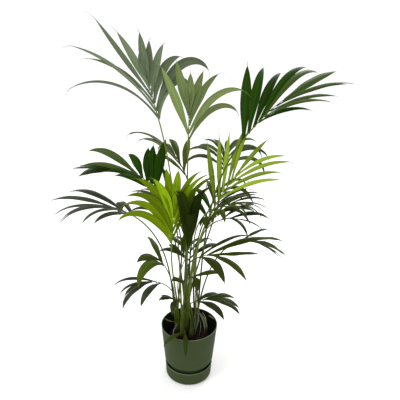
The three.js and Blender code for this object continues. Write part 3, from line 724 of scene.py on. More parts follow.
@dataclass(frozen=True)
class Frond:
    """A frond's named sizes, in millimetres and degrees."""

    name: str
    stem: Optional[str]  # the stem that carries it, or none where it stands in the compost
    base: tuple[float, float, float]  # where the first leaflet sits
    azimuth: float  # the way that the rib sets off, 0 to the right and 90 to the back
    rise: float  # and its angle above level
    rib: float  # the rib's length
    bend: float  # how far the rib has turned toward the ground at its end
    leaf: float  # the length of a full leaflet
    width: float  # and its width
    lift: float  # how far the leaflets are raised out of the blade
    tone: Tone
    seed: int
    left: Row
    right: Row
    tip: Optional[tuple[float, float]]  # the end leaflet's sag and share
    foot: Optional[tuple[float, float]] = None  # where it stands in the compost
    small: bool = False  # a young frond with a thin stalk, one node with its blade
    roll: float = 0.0  # how far the blade is turned about its rib
    outer: Optional[Tone] = None  # the green of the leaflets on the outer half of the rib, where it differs


LEMON, LIME, SPRING, MID, GREY = Tone.LEMON, Tone.LIME, Tone.SPRING, Tone.MID, Tone.GREY
SAGE, HEATH, FERN, MOSS = Tone.SAGE, Tone.HEATH, Tone.FERN, Tone.MOSS
SLATE, OLIVE, DARK, DEEP = Tone.SLATE, Tone.OLIVE, Tone.DARK, Tone.DEEP

# Each frond: its name, stem, base, azimuth, rise, rib, bend, leaf, width, lift, tone and seed, then its left
# row, its right row and its end leaflet.
FRONDS = (
    Frond("tall_left", "stem_front", (-123, 10, 1119), 190, 75, 152, 0, 225, 31, 8, GREY, 3,
          Row(5, (22, 32, 25, 20, 14), (150, 130, 60, 15, 0), (1.1, 1.4, 0.85, 0.75, 0.78),
              late=1.9, breadth=(1.15, 1.2, 1, 1)),
          Row(6, (22, 23, 18, 23, 14, -5), (110, 28, 60, 0, 12, 0), (1.6, 1.6, 1.2, 1.5, 1, 0.9),
              late=1.4, breadth=(0.3, 0.45, 0.45, 0.6, 0.9, 1)), (-4, 0.55), roll=90),
    Frond("tall_middle", "stem_back", (-17, 40, 1035), 280, 84, 115, 4, 220, 35, 12, MID, 5,
          Row(4, (28, 25, 17, 9), (105, 88, 35, 0), (1.25, 1.2, 1, 0.88), late=2.2, breadth=(0.8, 1.1)),
          Row(2, (22, 12), (15, 0), (1.1, 1)), (5, 0.75)),
    Frond("tall_right", "stem_right", (182, 0, 1055), 30, 46, 235, 18, 240, 38, 14, DARK, 8,
          Row(5, (37, 28, 22, 15, 8), (8, 40, 55, 64, 68), (1.42, 1.27, 1.27, 1.45, 1.55), (0, 0.6),
              late=2, breadth=(1.2, 0.7)),
          Row(5, (20, 14), (50, 35), (0.75, 1.6), (0.35, 0.95), late=1.5, breadth=(0.6, 0.6)), (25, 1.5),
          roll=26, outer=HEATH),
    Frond("broad_left", "stem_middle", (-129, -20, 838), 172, 62, 190, 62, 190, 40, 20, DARK, 9,
          Row(5, (24, 8), (60, 20), (0.85, 1.3), (0.12, 0.95), late=1.8, breadth=(0.8, 0.7)),
          Row(5, (40, 44, 46, 40, 14), (15, 15, 30, 70, 55), (1.25, 0.92, 0.72, 0.6, 1.25), (0, 0.6),
              late=2.2, breadth=(1.1, 1.1, 0.9, 0.8)), (40, 1.1), roll=-30, outer=HEATH),
    Frond("side_left", "stem_left", (-200, -60, 759), 178, 36, 110, 25, 300, 32, 15, SLATE, 11,
          Row(4, (40, 14), (85, 85), (0.55, 0.95), (0.3, 0.92)),
          Row(3, (60, 26, 16), (170, 75, 60), (0.6, 0.85, 1.15), (0.05, 0.92), breadth=(1.5, 1.2, 1.2)),
          (60, 1)),
    Frond("front_lime", "stem_left", (-69, -120, 678), 290, 82, 168, 8, 235, 34, 20, LIME, 13,
          Row(4, (26, 10), (60, 50), (1.05, 0.95), (0.2, 0.85), late=2.3),
          Row(6, (28, 8), (135, 10), (1.2, 0.9), (0, 0.75), late=2.2), (20, 0.85), outer=LEMON),
    Frond("right_lime", "stem_middle", (76, -40, 782), 25, 60, 170, 12, 255, 18, 20, SPRING, 15,
          Row(6, (42, 20), (0, 20), (0.85, 0.85), breadth=(1.4, 0.9)),
          Row(4, (30, 14), (45, 45), (0.85, 1), (0.3, 0.95)), (15, 0.8), roll=45),
    Frond("back_left", "stem_back", (-25, 90, 885), 140, 60, 140, 35, 190, 32, 30, FERN, 17,
          Row(4, (30, 10), (70, 70), (0.9, 1.3), late=1.8),
          Row(3, (34, 12), (50, 110), (0.95, 0.8), (0, 0.7)), (60, 1.2)),
    Frond("back_right", "stem_back", (127, 110, 900), 80, 74, 75, 15, 185, 17, 25, SAGE, 19,
          Row(5, (46, 18), (130, 110), (1.05, 0.8)), Row(5, (46, 18), (140, 110), (1.25, 0.85)), (60, 0.5)),
    Frond("side_right", "stem_right", (85, 20, 774), 8, 26, 90, 20, 205, 21, 15, MOSS, 21,
          Row(4, (36, 20), (80, 70)), Row(3, (50, 20), (100, 80), (0.9, 0.9)), (70, 1)),
    Frond("side_right_low", "stem_right", (109, -20, 743), 352, 25, 60, 25, 200, 27, 25, OLIVE, 23,
          Row(2, (40, 20), (70, 70)), Row(3, (50, 20), (110, 80), (0.9, 0.9)), (70, 1)),
    Frond("arching_right", "stem_middle", (81, 40, 792), 30, 62, 60, 15, 200, 22, 20, MOSS, 24,
          Row(2, (40, 20), (130, 120), (0.9, 0.9)), Row(2, (40, 20), (130, 120)), (120, 1)),
    Frond("front_dark", "stem_front", (-9, -118, 655), 288, 86, 80, 6, 260, 33, 8, DEEP, 25,
          Row(3, (9, 5), (20, 60), (0.85, 1.08), late=3.2, breadth=(1, 0.9)),
          Row(2, (12, 6), (20, 80), (0.8, 1.05), (0.1, 0.8), late=3.2, breadth=(1, 0.9)), (100, 0.85)),
    Frond("inner_right", "stem_middle", (50, -85, 718), 330, 66, 110, 20, 195, 32, 20, MOSS, 27,
          Row(3, (34, 12), (110, 120), late=2.2), Row(3, (34, 12), (110, 120), late=2.2), (120, 0.9)),
    Frond("inner_left", "stem_back", (-24, 30, 636), 150, 75, 160, 20, 190, 24, 25, DARK, 29,
          Row(3, (30, 16), (30, 30)), Row(3, (30, 16), (40, 30)), (30, 1)),
    Frond("low_right", "stem_low", (24, -88, 612), 350, 30, 60, 15, 230, 36, 15, MOSS, 31,
          Row(2, (40, 22), (60, 50), (1.4, 1.15)), Row(2, (54, 36), (70, 60), (0.7, 1.15), breadth=(1.1, 1)),
          (22, 0.95)),
    Frond("far_right", "stem_right", (193, 40, 623), 5, 20, 70, 40, 190, 23, 12, MOSS, 33,
          Row(4, (34, 14), (40, 50)), Row(4, (38, 14), (40, 50), (0.9, 0.9)), (50, 1)),
    Frond("rear_left", "stem_left", (-58, 130, 652), 115, 42, 160, 30, 240, 30, 20, SLATE, 52,
          Row(4, (46, 20), (80, 70)), Row(4, (46, 20), (80, 70)), (60, 1)),
    Frond("rear_right", "stem_right", (69, 130, 670), 65, 40, 150, 30, 235, 30, 20, DARK, 53,
          Row(4, (46, 20), (80, 70)), Row(4, (46, 20), (80, 70)), (60, 1)),
    Frond("rear_low", "stem_back", (-4, 100, 492), 92, 30, 110, 30, 200, 30, 15, OLIVE, 55,
          Row(3, (50, 22), (80, 70)), Row(3, (50, 22), (80, 70)), (60, 1)),
    Frond("low_left", "stem_left", (-97, -70, 562), 170, 60, 40, 10, 175, 40, 12, FERN, 35,
          Row(2, (44, 30), (120, 60), (1.1, 0.7)),
          Row(2, (24, 40), (80, 60), (0.95, 0.6), breadth=(1.1, 0.8)), None, small=True),
    Frond("lowest_left", "stem_left", (-108, -90, 498), 195, 30, 60, 30, 170, 30, 2, SLATE, 37,
          Row(2, (44, 22), (110, 95), (0.95, 1.15)), Row(2, (16, 10), (95, 90), (1.1, 1.1)), (90, 0.9),
          small=True),
    Frond("inner_low_back", "stem_middle", (-20, -75, 600), 150, 75, 30, 10, 100, 32, 10, MOSS, 39,
          Row(1, (30, 20), (40, 40)), Row(1, (30, 20), (40, 30)), None, small=True),
    Frond("inner_low_left", "stem_front", (-15, -70, 486), 180, 58, 40, 10, 125, 36, 10, MOSS, 41,
          Row(2, (40, 24), (50, 40), (0.9, 1)), Row(2, (34, 6), (30, 40), (0.95, 1)), None, small=True),
    Frond("inner_low_right", "stem_low", (-2, -56, 506), 350, 30, 36, 10, 140, 34, 10, MOSS, 43,
          Row(1, (16, 20), (70, 60), (1, 1)), Row(1, (70, 50), (100, 80), (0.6, 0.7)), None, small=True),
    Frond("pot_right", "stem_low", (15, -62, 396), 350, 28, 60, 10, 150, 32, 10, OLIVE, 45,
          Row(2, (40, 16), (70, 60), (0.8, 1)), Row(2, (34, 14), (90, 80), (0.95, 1.3)), (70, 1.1),
          small=True),
    Frond("pot_left", "stem_front", (-46, -50, 392), 190, 35, 30, 10, 92, 28, 10, OLIVE, 49,
          Row(1, (60, 20), (120, 60), (0.9, 0.8)), Row(2, (50, 10), (60, 110), (0.9, 0.9)), None, small=True),
    Frond("pot_front", None, (-16, -75, 264), 262, 20, 20, 10, 112, 20, 10, MOSS, 47,
          Row(1, (14, 20), (120, 60), (1.2, 1.1)), Row(1, (46, 20), (70, 60), breadth=(1.2, 1)), None,
          (-18, -58), small=True),
)


@dataclass(frozen=True)
class Line:
    """A line in space with the direction at each of its points, in millimetres."""

    points: Vec
    directions: Vec


@dataclass(frozen=True)
class Site:
    """Where a leaflet sits on its rib, and how it leaves it."""

    side: int  # -1 on the left, 1 on the right and 0 at the rib's end
    at: float
    spread: float
    droop: float
    share: float
    late: float
    breadth: float


@dataclass(frozen=True)
class LeafletLine:
    """A leaflet as the rule gives it: its midrib, the way across it at each point, its length and width."""

    line: Line
    across: Vec
    length: float
    width: float
    above: Vec  # the way that the frond's upper face looks


def grow(start: Vec, direction: Vec, length: float, droop: float, steps: int, power: float) -> Line:
    """A line that starts along a direction and turns toward the ground.

    Args:
        start: where it starts, in millimetres.
        direction: its first direction.
        length: its length, in millimetres.
        droop: how far it has turned at its end, in degrees.
        steps: how many straight pieces it has.
        power: over 1 it turns mostly near its end.

    Returns:
        The line.
    """
    axis = np.cross(direction, DOWN)
    axis = vector(0, 1, 0) if np.linalg.norm(axis) < NO_DIRECTION else unit(axis)
    points, directions, before = [start], [direction], 0.0
    for i in range(1, steps + 1):
        angle = math.radians(droop) * (i / steps) ** power
        points.append(points[-1] + turned(direction, axis, (angle + before) / 2) * (length / steps))
        directions.append(turned(direction, axis, angle))
        before = angle
    return Line(np.array(points), np.array(directions))


@dataclass(frozen=True)
class LeafRule:
    """How every frond sets its rib and its leaflets: the solids' rule and values, in finer steps."""

    rib_steps: int = 10
    rib_power: float = 1.2  # over 1 a rib bends mostly near its end
    steps: int = 24  # along a leaflet
    tip_power: float = 1.6  # how late the end leaflet turns
    first_at: float = 8.0  # from the stalk's tip to the first leaflet's midrib
    stagger: float = 0.35  # how far the right row is set along against the left one, in leaflets
    root_width: float = 0.34  # of a leaflet's full width
    widest_at: float = 0.5
    bluntness: float = 0.7  # under 1 the outer part keeps its width for longer
    fullness: tuple[float, float, float, float] = (0.78, 0.27, 0.2, 0.75)  # least, more, from, run
    variety: tuple[float, float, float, float] = (3.0, 6.0, 0.08, 0.15)  # spread, lift, length, droop

    def width(self, share: float) -> float:
        """A leaflet's outline.

        Args:
            share: how far along the leaflet, 0 at its root and 1 at its tip.

        Returns:
            Its width there, as a share of its full width.
        """
        if share < self.widest_at:
            return mix(self.root_width, 1, (1 - math.cos(share / self.widest_at * math.pi)) / 2)
        past = (share - self.widest_at) / (1 - self.widest_at)
        return max(0.0, math.cos(past * math.pi / 2)) ** self.bluntness

    def rib(self, frond: Frond) -> Line:
        """Returns a frond's rib."""
        direction = heading(frond.azimuth, frond.rise)
        return grow(vector(*frond.base), direction, frond.rib, frond.bend, self.rib_steps, self.rib_power)

    def sites(self, frond: Frond) -> list[Site]:
        """Where each leaflet sits on the rib and how it leaves it.

        Args:
            frond: the frond.

        Returns:
            The left row, the right row and the end leaflet.
        """
        found = []
        first = self.first_at / frond.rib
        for side, row, offset in ((-1, frond.left, 0.0), (1, frond.right, self.stagger)):
            for i in range(row.count):
                q = (i + offset) / max(1, row.count - 1 + self.stagger)
                at = mix(max(first, row.span[0]), max(first, row.span[1]), q)
                spread, droop, share = (between(run, q) for run in (row.spread, row.droop, row.share))
                found.append(Site(side, at, spread, droop, share, row.late, between(row.breadth, q)))
        if frond.tip:
            found.append(Site(0, 1.0, 0.0, *frond.tip, self.tip_power, 1.0))
        return found

    def leaflets(self, frond: Frond, lifts: Callable[[int], float]) -> list[LeafletLine]:
        """A frond's leaflets as lines.

        Args:
            frond: the frond.
            lifts: for a leaflet's number, how many degrees it is raised over the rule's own lift.

        Returns:
            The leaflets, in the rule's order.
        """
        rib = self.rib(frond)
        across = np.cross(heading(frond.azimuth, 0), UP)
        dice = Dice(frond.seed)
        least, more, start_at, run = self.fullness
        spreads, raises, lengths, droops = self.variety
        found = []
        for i, site in enumerate(self.sites(frond)):
            point, direction = between(rib.points, site.at), unit(between(rib.directions, site.at))
            side = turned(unit(square_to(across, direction)), direction, math.radians(frond.roll))
            normal = unit(np.cross(side, direction))
            angle = math.radians(site.spread + spreads * dice.swing())
            lift = math.radians(frond.lift + raises * dice.swing() + lifts(i))
            outward = side * ((site.side or 1) * math.cos(lift)) + normal * math.sin(lift)
            start = unit(direction * math.cos(angle) + outward * math.sin(angle))
            full = least + more * math.sin(math.pi * min(1, site.at * run + start_at))
            length = frond.leaf * full * site.share * (1 + lengths * dice.swing())
            droop = site.droop * (1 + droops * dice.swing())
            line = grow(point, start, length, droop, self.steps, site.late)
            wide = square_to(direction, start)
            if np.linalg.norm(wide) < NO_DIRECTION:
                wide = square_to(side, start)
            wide = unit(wide)
            ways = []
            for d in line.directions:
                wide = unit(square_to(wide, d))
                ways.append(wide)
            found.append(LeafletLine(line, np.array(ways), length, frond.width * site.breadth, normal))
        return found


@dataclass(frozen=True)
class Stem:
    """A short stem: where it stands and where its top is, in millimetres."""

    name: str
    foot: tuple[float, float]
    top: tuple[float, float, float]


STEMS = (
    Stem("stem_left", (-48, 0), (-54, 0, 262)),
    Stem("stem_front", (-26, -34), (-29, -38, 280)),
    Stem("stem_back", (-16, 40), (-15, 45, 295)),
    Stem("stem_right", (22, 10), (30, 11, 276)),
    Stem("stem_middle", (-12, 2), (-12, 2, 305)),
    Stem("stem_low", (8, -34), (13, -40, 262)),
)


@dataclass
class Way:
    """A tapered line that something follows, with its radii at both ends and its owner."""

    points: Vec
    radii: tuple[float, float]
    owner: str


@dataclass
class StalkRule:
    """How the stalks stand on their stems and find their way up: the solids' rule and values."""

    leaf_rule: LeafRule
    gap: float = 0.3  # between a stem's top and a stalk's foot
    ground: float = 190.3  # where the stems stand, over the compost
    stalk: tuple[float, float] = (3.5, 2.7)  # radius at the foot and at the tip
    thin: tuple[float, float] = (2.6, 1.9)  # the same for a small frond
    rib_tip: float = 1.3  # a rib's radius at its end
    rib_pieces: int = 5  # straight pieces that a rib is measured in
    thin_rib_pieces: int = 2
    coarse: int = 6  # steps of a stalk while its way is sought
    fine: int = 30  # and as it is built
    lean: float = 0.35  # how far a stalk leans as it leaves its foot
    arrive: float = 0.3  # how much of its span it comes in straight for
    feet_apart: float = 1.1
    apart: float = 0.9  # the least air that ends the search
    places: int = 48  # places along a stalk where its air is measured
    stem_radii: tuple[float, float] = (15.0, 11.0)
    rises: tuple[float, ...] = (0.34, 0.24, 0.44)  # tried in turn: how far it stays upright
    sways: tuple[float, ...] = (0, 12, -12, 24, -24, 36, -36, 50, -50, 70, -70)  # and how far it bows

    def radii(self, frond: Frond) -> tuple[float, float]:
        """Returns the radius of a frond's stalk at its foot and at its tip."""
        return self.thin if frond.small else self.stalk

    def feet(self, stem: Stem) -> dict[str, Vec]:
        """Where the stalks stand on a stem's flat top, side by side on a ring.

        Args:
            stem: the stem.

        Returns:
            Each frond's foot, by its name.
        """
        carried = [f for f in FRONDS if f.stem == stem.name]
        top = vector(*stem.top)

        def turn(frond: Frond) -> float:
            """Returns the way that a frond leans from the stem, as an angle."""
            return math.atan2(frond.base[1] - top[1], frond.base[0] - top[0])

        order = sorted(carried, key=turn)
        widest = max(self.radii(f)[0] for f in order)
        ring = 0 if len(order) < 2 else (widest + self.feet_apart / 2) / math.sin(math.pi / len(order))
        step = TURN / len(order)
        offsets = [turn(f) - step * i for i, f in enumerate(order)]
        offset = math.atan2(sum(map(math.sin, offsets)), sum(map(math.cos, offsets)))
        return {f.name: top + on_ring(ring, offset + step * i, self.gap) for i, f in enumerate(order)}

    def line(self, frond: Frond, foot: Vec, rise: float, sway: float, steps: int) -> Vec:
        """A stalk's centre line: up from its foot and into the rib's own direction, bowed sideways.

        Args:
            frond: the frond that it carries.
            foot: where it stands.
            rise: how far it stays upright, as a share of its span.
            sway: how far it bows to the side.
            steps: how many straight pieces it has.

        Returns:
            The line's points.
        """
        base = vector(*frond.base)
        arrival = heading(frond.azimuth, frond.rise)
        span = float(np.linalg.norm(base - foot))
        lean = vector(base[0] - foot[0], base[1] - foot[1], 0)
        beside = np.cross(lean, UP)
        side = beside / max(1e-9, float(np.linalg.norm(beside))) * sway
        leave = unit(lean * (self.lean / span) + UP)
        first = foot + leave * (span * rise) + side
        second = base - arrival * (span * self.arrive) + side
        t = np.linspace(0, 1, steps + 1)[:, None]
        return foot * (1 - t) ** 3 + first * 3 * t * (1 - t) ** 2 + second * 3 * t**2 * (1 - t) + base * t**3

    def air(self, a: Way, b: Way) -> float:
        """The least air between two tapered lines.

        Args:
            a: one line, measured at even places.
            b: the other line.

        Returns:
            The air in millimetres, below 0 where they would cross.
        """
        shares = np.linspace(0, 1, self.places + 1)
        last = len(a.points) - 1
        index = np.minimum(last - 1, np.floor(shares * last).astype(int))
        part = (shares * last - index)[:, None]
        spots = a.points[index] * (1 - part) + a.points[index + 1] * part
        mine = mix(*a.radii, shares)
        start, run = b.points[:-1], np.diff(b.points, axis=0)
        along = np.einsum("ijk,jk->ij", spots[:, None] - start[None], run)
        along /= np.maximum(1e-12, (run**2).sum(1))
        nearest = start[None] + np.clip(along, 0, 1)[:, :, None] * run[None]
        distance = np.linalg.norm(spots[:, None] - nearest, axis=2)
        other = mix(*b.radii, np.arange(len(run)) / len(run))
        return float((distance - mine[:, None] - other[None]).min())

    def routes(self) -> dict[str, Vec]:
        """The way of every stalk, each clear of all that stands already.

        Returns:
            Each stalk's fine centre line, by its frond's name.
        """
        ways = []
        feet: dict[str, Vec] = {}
        for stem in STEMS:
            feet.update(self.feet(stem))
            axis = np.array([vector(*stem.foot, self.ground), vector(*stem.top)])
            ways.append(Way(axis, self.stem_radii, stem.name))
        for frond in FRONDS:
            if frond.foot:
                feet[frond.name] = vector(*frond.foot, self.ground)
            pieces = self.thin_rib_pieces if frond.small else self.rib_pieces
            rib = self.leaf_rule.rib(frond).points
            line = np.array([between(rib, i / pieces) for i in range(pieces + 1)])
            ways.append(Way(line, (self.radii(frond)[1], self.rib_tip), frond.name))
        found = {}
        for frond in FRONDS:
            foot = feet[frond.name]
            others = [w for w in ways if w.owner not in (frond.name, frond.stem)]
            best = None
            for rise, sway in itertools.product(self.rises, self.sways):
                points = self.line(frond, foot, rise, sway, self.coarse)
                way = Way(points, self.radii(frond), frond.name)
                air = min(self.air(way, other) for other in others)
                if best is None or air > best[0]:
                    best = (air, way, rise, sway)
                if air >= self.apart:
                    break
            _, way, rise, sway = best
            ways.append(way)
            found[frond.name] = self.line(frond, foot, rise, sway, self.fine)
        return found


# ---------------------------------------------------------------- the pieces


@dataclass
class SelfWateringPot:
    """The pot and the reservoir that it stands in, turned finer than the solids."""

    height: float = 250
    rim: float = 120
    wall: float = 2.8
    rim_round: float = 1.2
    shoulder_height: float = 80
    shoulder: float = 105
    shoulder_round: float = 5.0
    neck: float = 91
    skirt: float = 80
    skirt_end: float = 3.3  # the skirt stands 0.3 mm clear of the reservoir's floor
    floor: float = 40
    floor_over: tuple[float, float] = (1, 3)  # how far the floor runs past the skirt, below and above
    draft: float = 0.6  # what the mould's draft takes off the foot of a wall
    eased: float = 0.4  # how far a corner under an edge is eased
    inside_mark: float = 170  # a height on the plain inner wall
    inside_corner: float = 12  # from the shoulder up to where the inner wall starts
    lip_height: float = 61
    lip: float = 103
    lip_round: float = 0.9
    belly_height: float = 20
    belly: float = 100
    foot: float = 88
    foot_round: float = 10
    reservoir_wall: float = 2.6
    reservoir_floor: float = 3.0
    drawn_in: tuple[float, float] = (1, 2)  # how far its inside draws in, over its floor and at it
    sides: int = 144

    def inside(self, height: float) -> tuple[float, float]:
        """Returns the point of the pot's inner wall at a height above its shoulder."""
        share = (height - self.shoulder_height) / (self.height - self.shoulder_height)
        return mix(self.shoulder, self.rim, share) - self.wall, height

    def shell(self, wall: Outline, edge: Outline, inside: Outline) -> MeshSketch:
        """A turned shell with its three finishes.

        Args:
            wall: the outline of its matt wall, from the axis.
            edge: the outline of its edge, painted paler as a painted highlight.
            inside: the outline of its inside, painted near black as painted shade, back to the axis.

        Returns:
            Its mesh.
        """
        sketch = MeshSketch()
        finishes = [0] * len(wall) + [1] * len(edge) + [2] * (len(inside) - 1)
        lathe(sketch, [*wall, *edge, *inside], self.sides, finishes)
        return sketch

    def pot(self) -> MeshSketch:
        """The pot: its wall with the shoulder, the neck and the skirt, its rim with a painted highlight and
        its inside with painted shade.

        Returns:
            Its mesh.
        """
        r, step = self.rim_round, self.shoulder_round
        edge = arc(self.rim - r, self.height - r, r, (0, 22, 45, 68, 90))
        edge += arc(self.rim - self.wall + r, self.height - r, r, (90, 112, 135, 158, 180))
        sloped = [
            (mix(self.shoulder, self.rim, s), mix(self.shoulder_height + step, self.height - r, s))
            for s in (0.25, 0.5, 0.75)
        ]
        wall = [
            (0, self.floor - self.wall),
            (self.skirt + self.floor_over[0], self.floor - self.wall),
            (self.skirt - self.wall, self.skirt_end),
            (self.skirt, self.skirt_end),
            (self.neck - self.draft, self.shoulder_height - self.wall),
            (self.neck, self.shoulder_height - self.eased),
            *arc(self.shoulder - step, self.shoulder_height + step, step, (-90, -68, -45, -22, 0)),
            *sloped,
            edge[0],
        ]
        inside = [
            edge[-1],
            self.inside(self.inside_mark),
            self.inside(self.shoulder_height + self.inside_corner),
            (self.neck - self.wall, self.shoulder_height),
            (self.skirt + self.floor_over[1], self.floor),
            (0, self.floor),
        ]
        return self.shell(wall, edge[1:-1], inside)

    def reservoir(self) -> MeshSketch:
        """The reservoir: its belly, its lip with a painted highlight and its inside with painted shade.

        Returns:
            Its mesh.
        """
        quarter = [math.radians(a) for a in range(0, 91, 10)]
        widest = self.belly - self.draft
        wall = [
            (0, 0),
            *[(mix(self.foot, widest, math.sin(a)), self.foot_round * (1 - math.cos(a))) for a in quarter],
            (self.belly, self.belly_height),
        ]
        r, inner = self.lip_round, self.belly - self.reservoir_wall
        inside = [
            (self.lip - self.reservoir_wall, self.lip_height - self.eased),
            (inner, self.belly_height),
            (inner - self.drawn_in[0], self.foot_round + self.reservoir_floor),
            (self.foot - self.drawn_in[1], self.reservoir_floor),
            (0, self.reservoir_floor),
        ]
        return self.shell(wall, arc(self.lip - r, self.lip_height - r, r, (0, 30, 60, 90)), inside)

    def dress(self) -> None:
        """Makes the pot and the reservoir as pieces."""
        # The wall is matt; its edge is painted paler, a painted highlight where light from above catches the
        # rim and the lip; the inside is painted near black, painted shade inside the pot.
        finishes = [
            MouldedPolypropylene("moulded_polypropylene").make(),
            # Painted highlight: the paler edge stands for light from above catching the rim and the lip.
            MouldedPolypropylene("rubbed_polypropylene_edge", "6c765a", "7a8468").make(),
            # Painted shade: the inside is the same plastic, painted near black for the shade inside the pot.
            MouldedPolypropylene("damp_polypropylene_inside", "101a0e", "182214").make(),
        ]
        self.pot().piece("pot_shell", finishes, "pot_plastic", ["pot"], 40)
        self.reservoir().piece("pot_reservoir", finishes, "reservoir_plastic", ["reservoir"], 40)


@dataclass
class CompostBed:
    """The root ball with its rough top, and the loose crumbs on it."""

    top: float = 190
    radius: float = 88
    waist_below: float = 40  # how far under the top its side starts to taper
    bottom_radius: float = 80
    bottom: float = 40.3
    bottom_edge: tuple[float, float] = (4, 76)  # the bevel under it: height and radius
    rings: int = 34
    sides: int = 120
    sunk: float = 1.0  # how far the rough top lies under the solid's
    heaps: tuple[float, float] = (0.03, 2.4)  # waves to a millimetre, and their height
    lumps: tuple[float, float] = (0.14, 1.6)
    edge_from: float = 0.93  # where the top falls away to the pot's wall
    edge_fall: float = 5.0
    crumbs: int = 900
    crumbs_reach: float = 0.97  # of the radius
    crumb_size: tuple[float, float] = (0.9, 3.2)
    crumb_long: tuple[float, float] = (0.6, 2.2)  # its length, of its size
    crumb_rough: tuple[float, float] = (0.7, 1.2)  # how far a corner stands out, of its size
    crumb_height: float = 0.7
    crumb_seat: float = 0.2  # how far its middle stands over the compost, of its size
    seed: int = 101

    def level(self, x: float, y: float) -> float:
        """The rough top of the compost.

        Args:
            x: how far to the right of the middle, in millimetres.
            y: how far behind it.

        Returns:
            The height of the top there, in millimetres.
        """
        height = self.top - self.sunk
        for (waves, size), layer in ((self.heaps, 0.0), (self.lumps, 3.0)):
            height += size * noise.noise(Vector((x * waves, y * waves, layer)))
        return height

    def ball(self) -> MeshSketch:
        """The root ball: its rough top, its side that tapers to the skirt, and the bevel under it.

        Returns:
            Its mesh.
        """
        points: list[Vec] = [vector(0, 0, self.level(0, 0)) * MM]
        for i in range(1, self.rings + 1):
            share = i / self.rings
            fall = self.edge_fall * max(0.0, share - self.edge_from) / (1 - self.edge_from)
            for turn in turns(self.sides):
                x, y, _ = on_ring(self.radius * share, turn, 0)
                points.append(vector(x, y, self.level(x, y) - fall) * MM)
        bevel, bevel_radius = self.bottom_edge
        waist = self.top - self.waist_below
        lower = ((self.radius, waist), (self.bottom_radius, self.bottom + bevel), (bevel_radius, self.bottom))
        for radius, height in lower:
            points.extend(on_ring(radius, turn, height) * MM for turn in turns(self.sides))
        points.append(vector(0, 0, self.bottom) * MM)
        total = self.rings + len(lower)
        last_ring = 1 + (total - 1) * self.sides
        faces: list[tuple[int, ...]] = []
        for k in range(self.sides):
            n = (k + 1) % self.sides
            faces.append((0, 1 + k, 1 + n))
            faces.append((len(points) - 1, last_ring + n, last_ring + k))
            for i in range(total - 1):
                a, b = 1 + i * self.sides, 1 + (i + 1) * self.sides
                faces.append((a + k, b + k, b + n, a + n))
        flat = [(float(p[0]) * FLAT_TO_METRE, float(p[1]) * FLAT_TO_METRE) for p in points]
        sketch = MeshSketch()
        sketch.add(points, faces, [flat[k] for face in faces for k in face])
        return sketch

    def litter(self) -> MeshSketch:
        """The loose crumbs on top, each a rough, flattened lump of eight faces.

        Returns:
            Their mesh.
        """
        sketch = MeshSketch()
        dice = Dice(self.seed)
        corners = [sign * axis for axis in np.eye(3) for sign in (1, -1)]
        sides = [(0, 2, 4), (2, 1, 4), (1, 3, 4), (3, 0, 4), (2, 0, 5), (1, 2, 5), (3, 1, 5), (0, 3, 5)]
        places = [(0.0, 0.0), (1.0, 0.0), (0.5, 1.0)] * len(sides)
        for _ in range(self.crumbs):
            r = self.radius * self.crumbs_reach * math.sqrt(dice.within(0, 1))
            x, y, _ = on_ring(r, dice.within(0, TURN), 0)
            size = dice.within(*self.crumb_size)
            stretch = size * vector(dice.within(*self.crumb_long), 1, self.crumb_height)
            spin = dice.within(0, math.pi)
            middle = vector(x, y, self.level(x, y) + size * self.crumb_seat)
            rough = [corner * stretch * dice.within(*self.crumb_rough) for corner in corners]
            sketch.add([(middle + turned(p, UP, spin)) * MM for p in rough], sides, places)
        return sketch

    def dress(self) -> None:
        """Makes the root ball and its litter as pieces."""
        compost = PottingCompost().make()
        crumb = PottingCompost("compost_crumbs", "120a06", "341c12", 2.0).make()
        self.ball().piece("compost_bed", [compost], "compost", ["root_ball"])
        self.litter().piece("compost_litter", [crumb], "compost", (), 20)


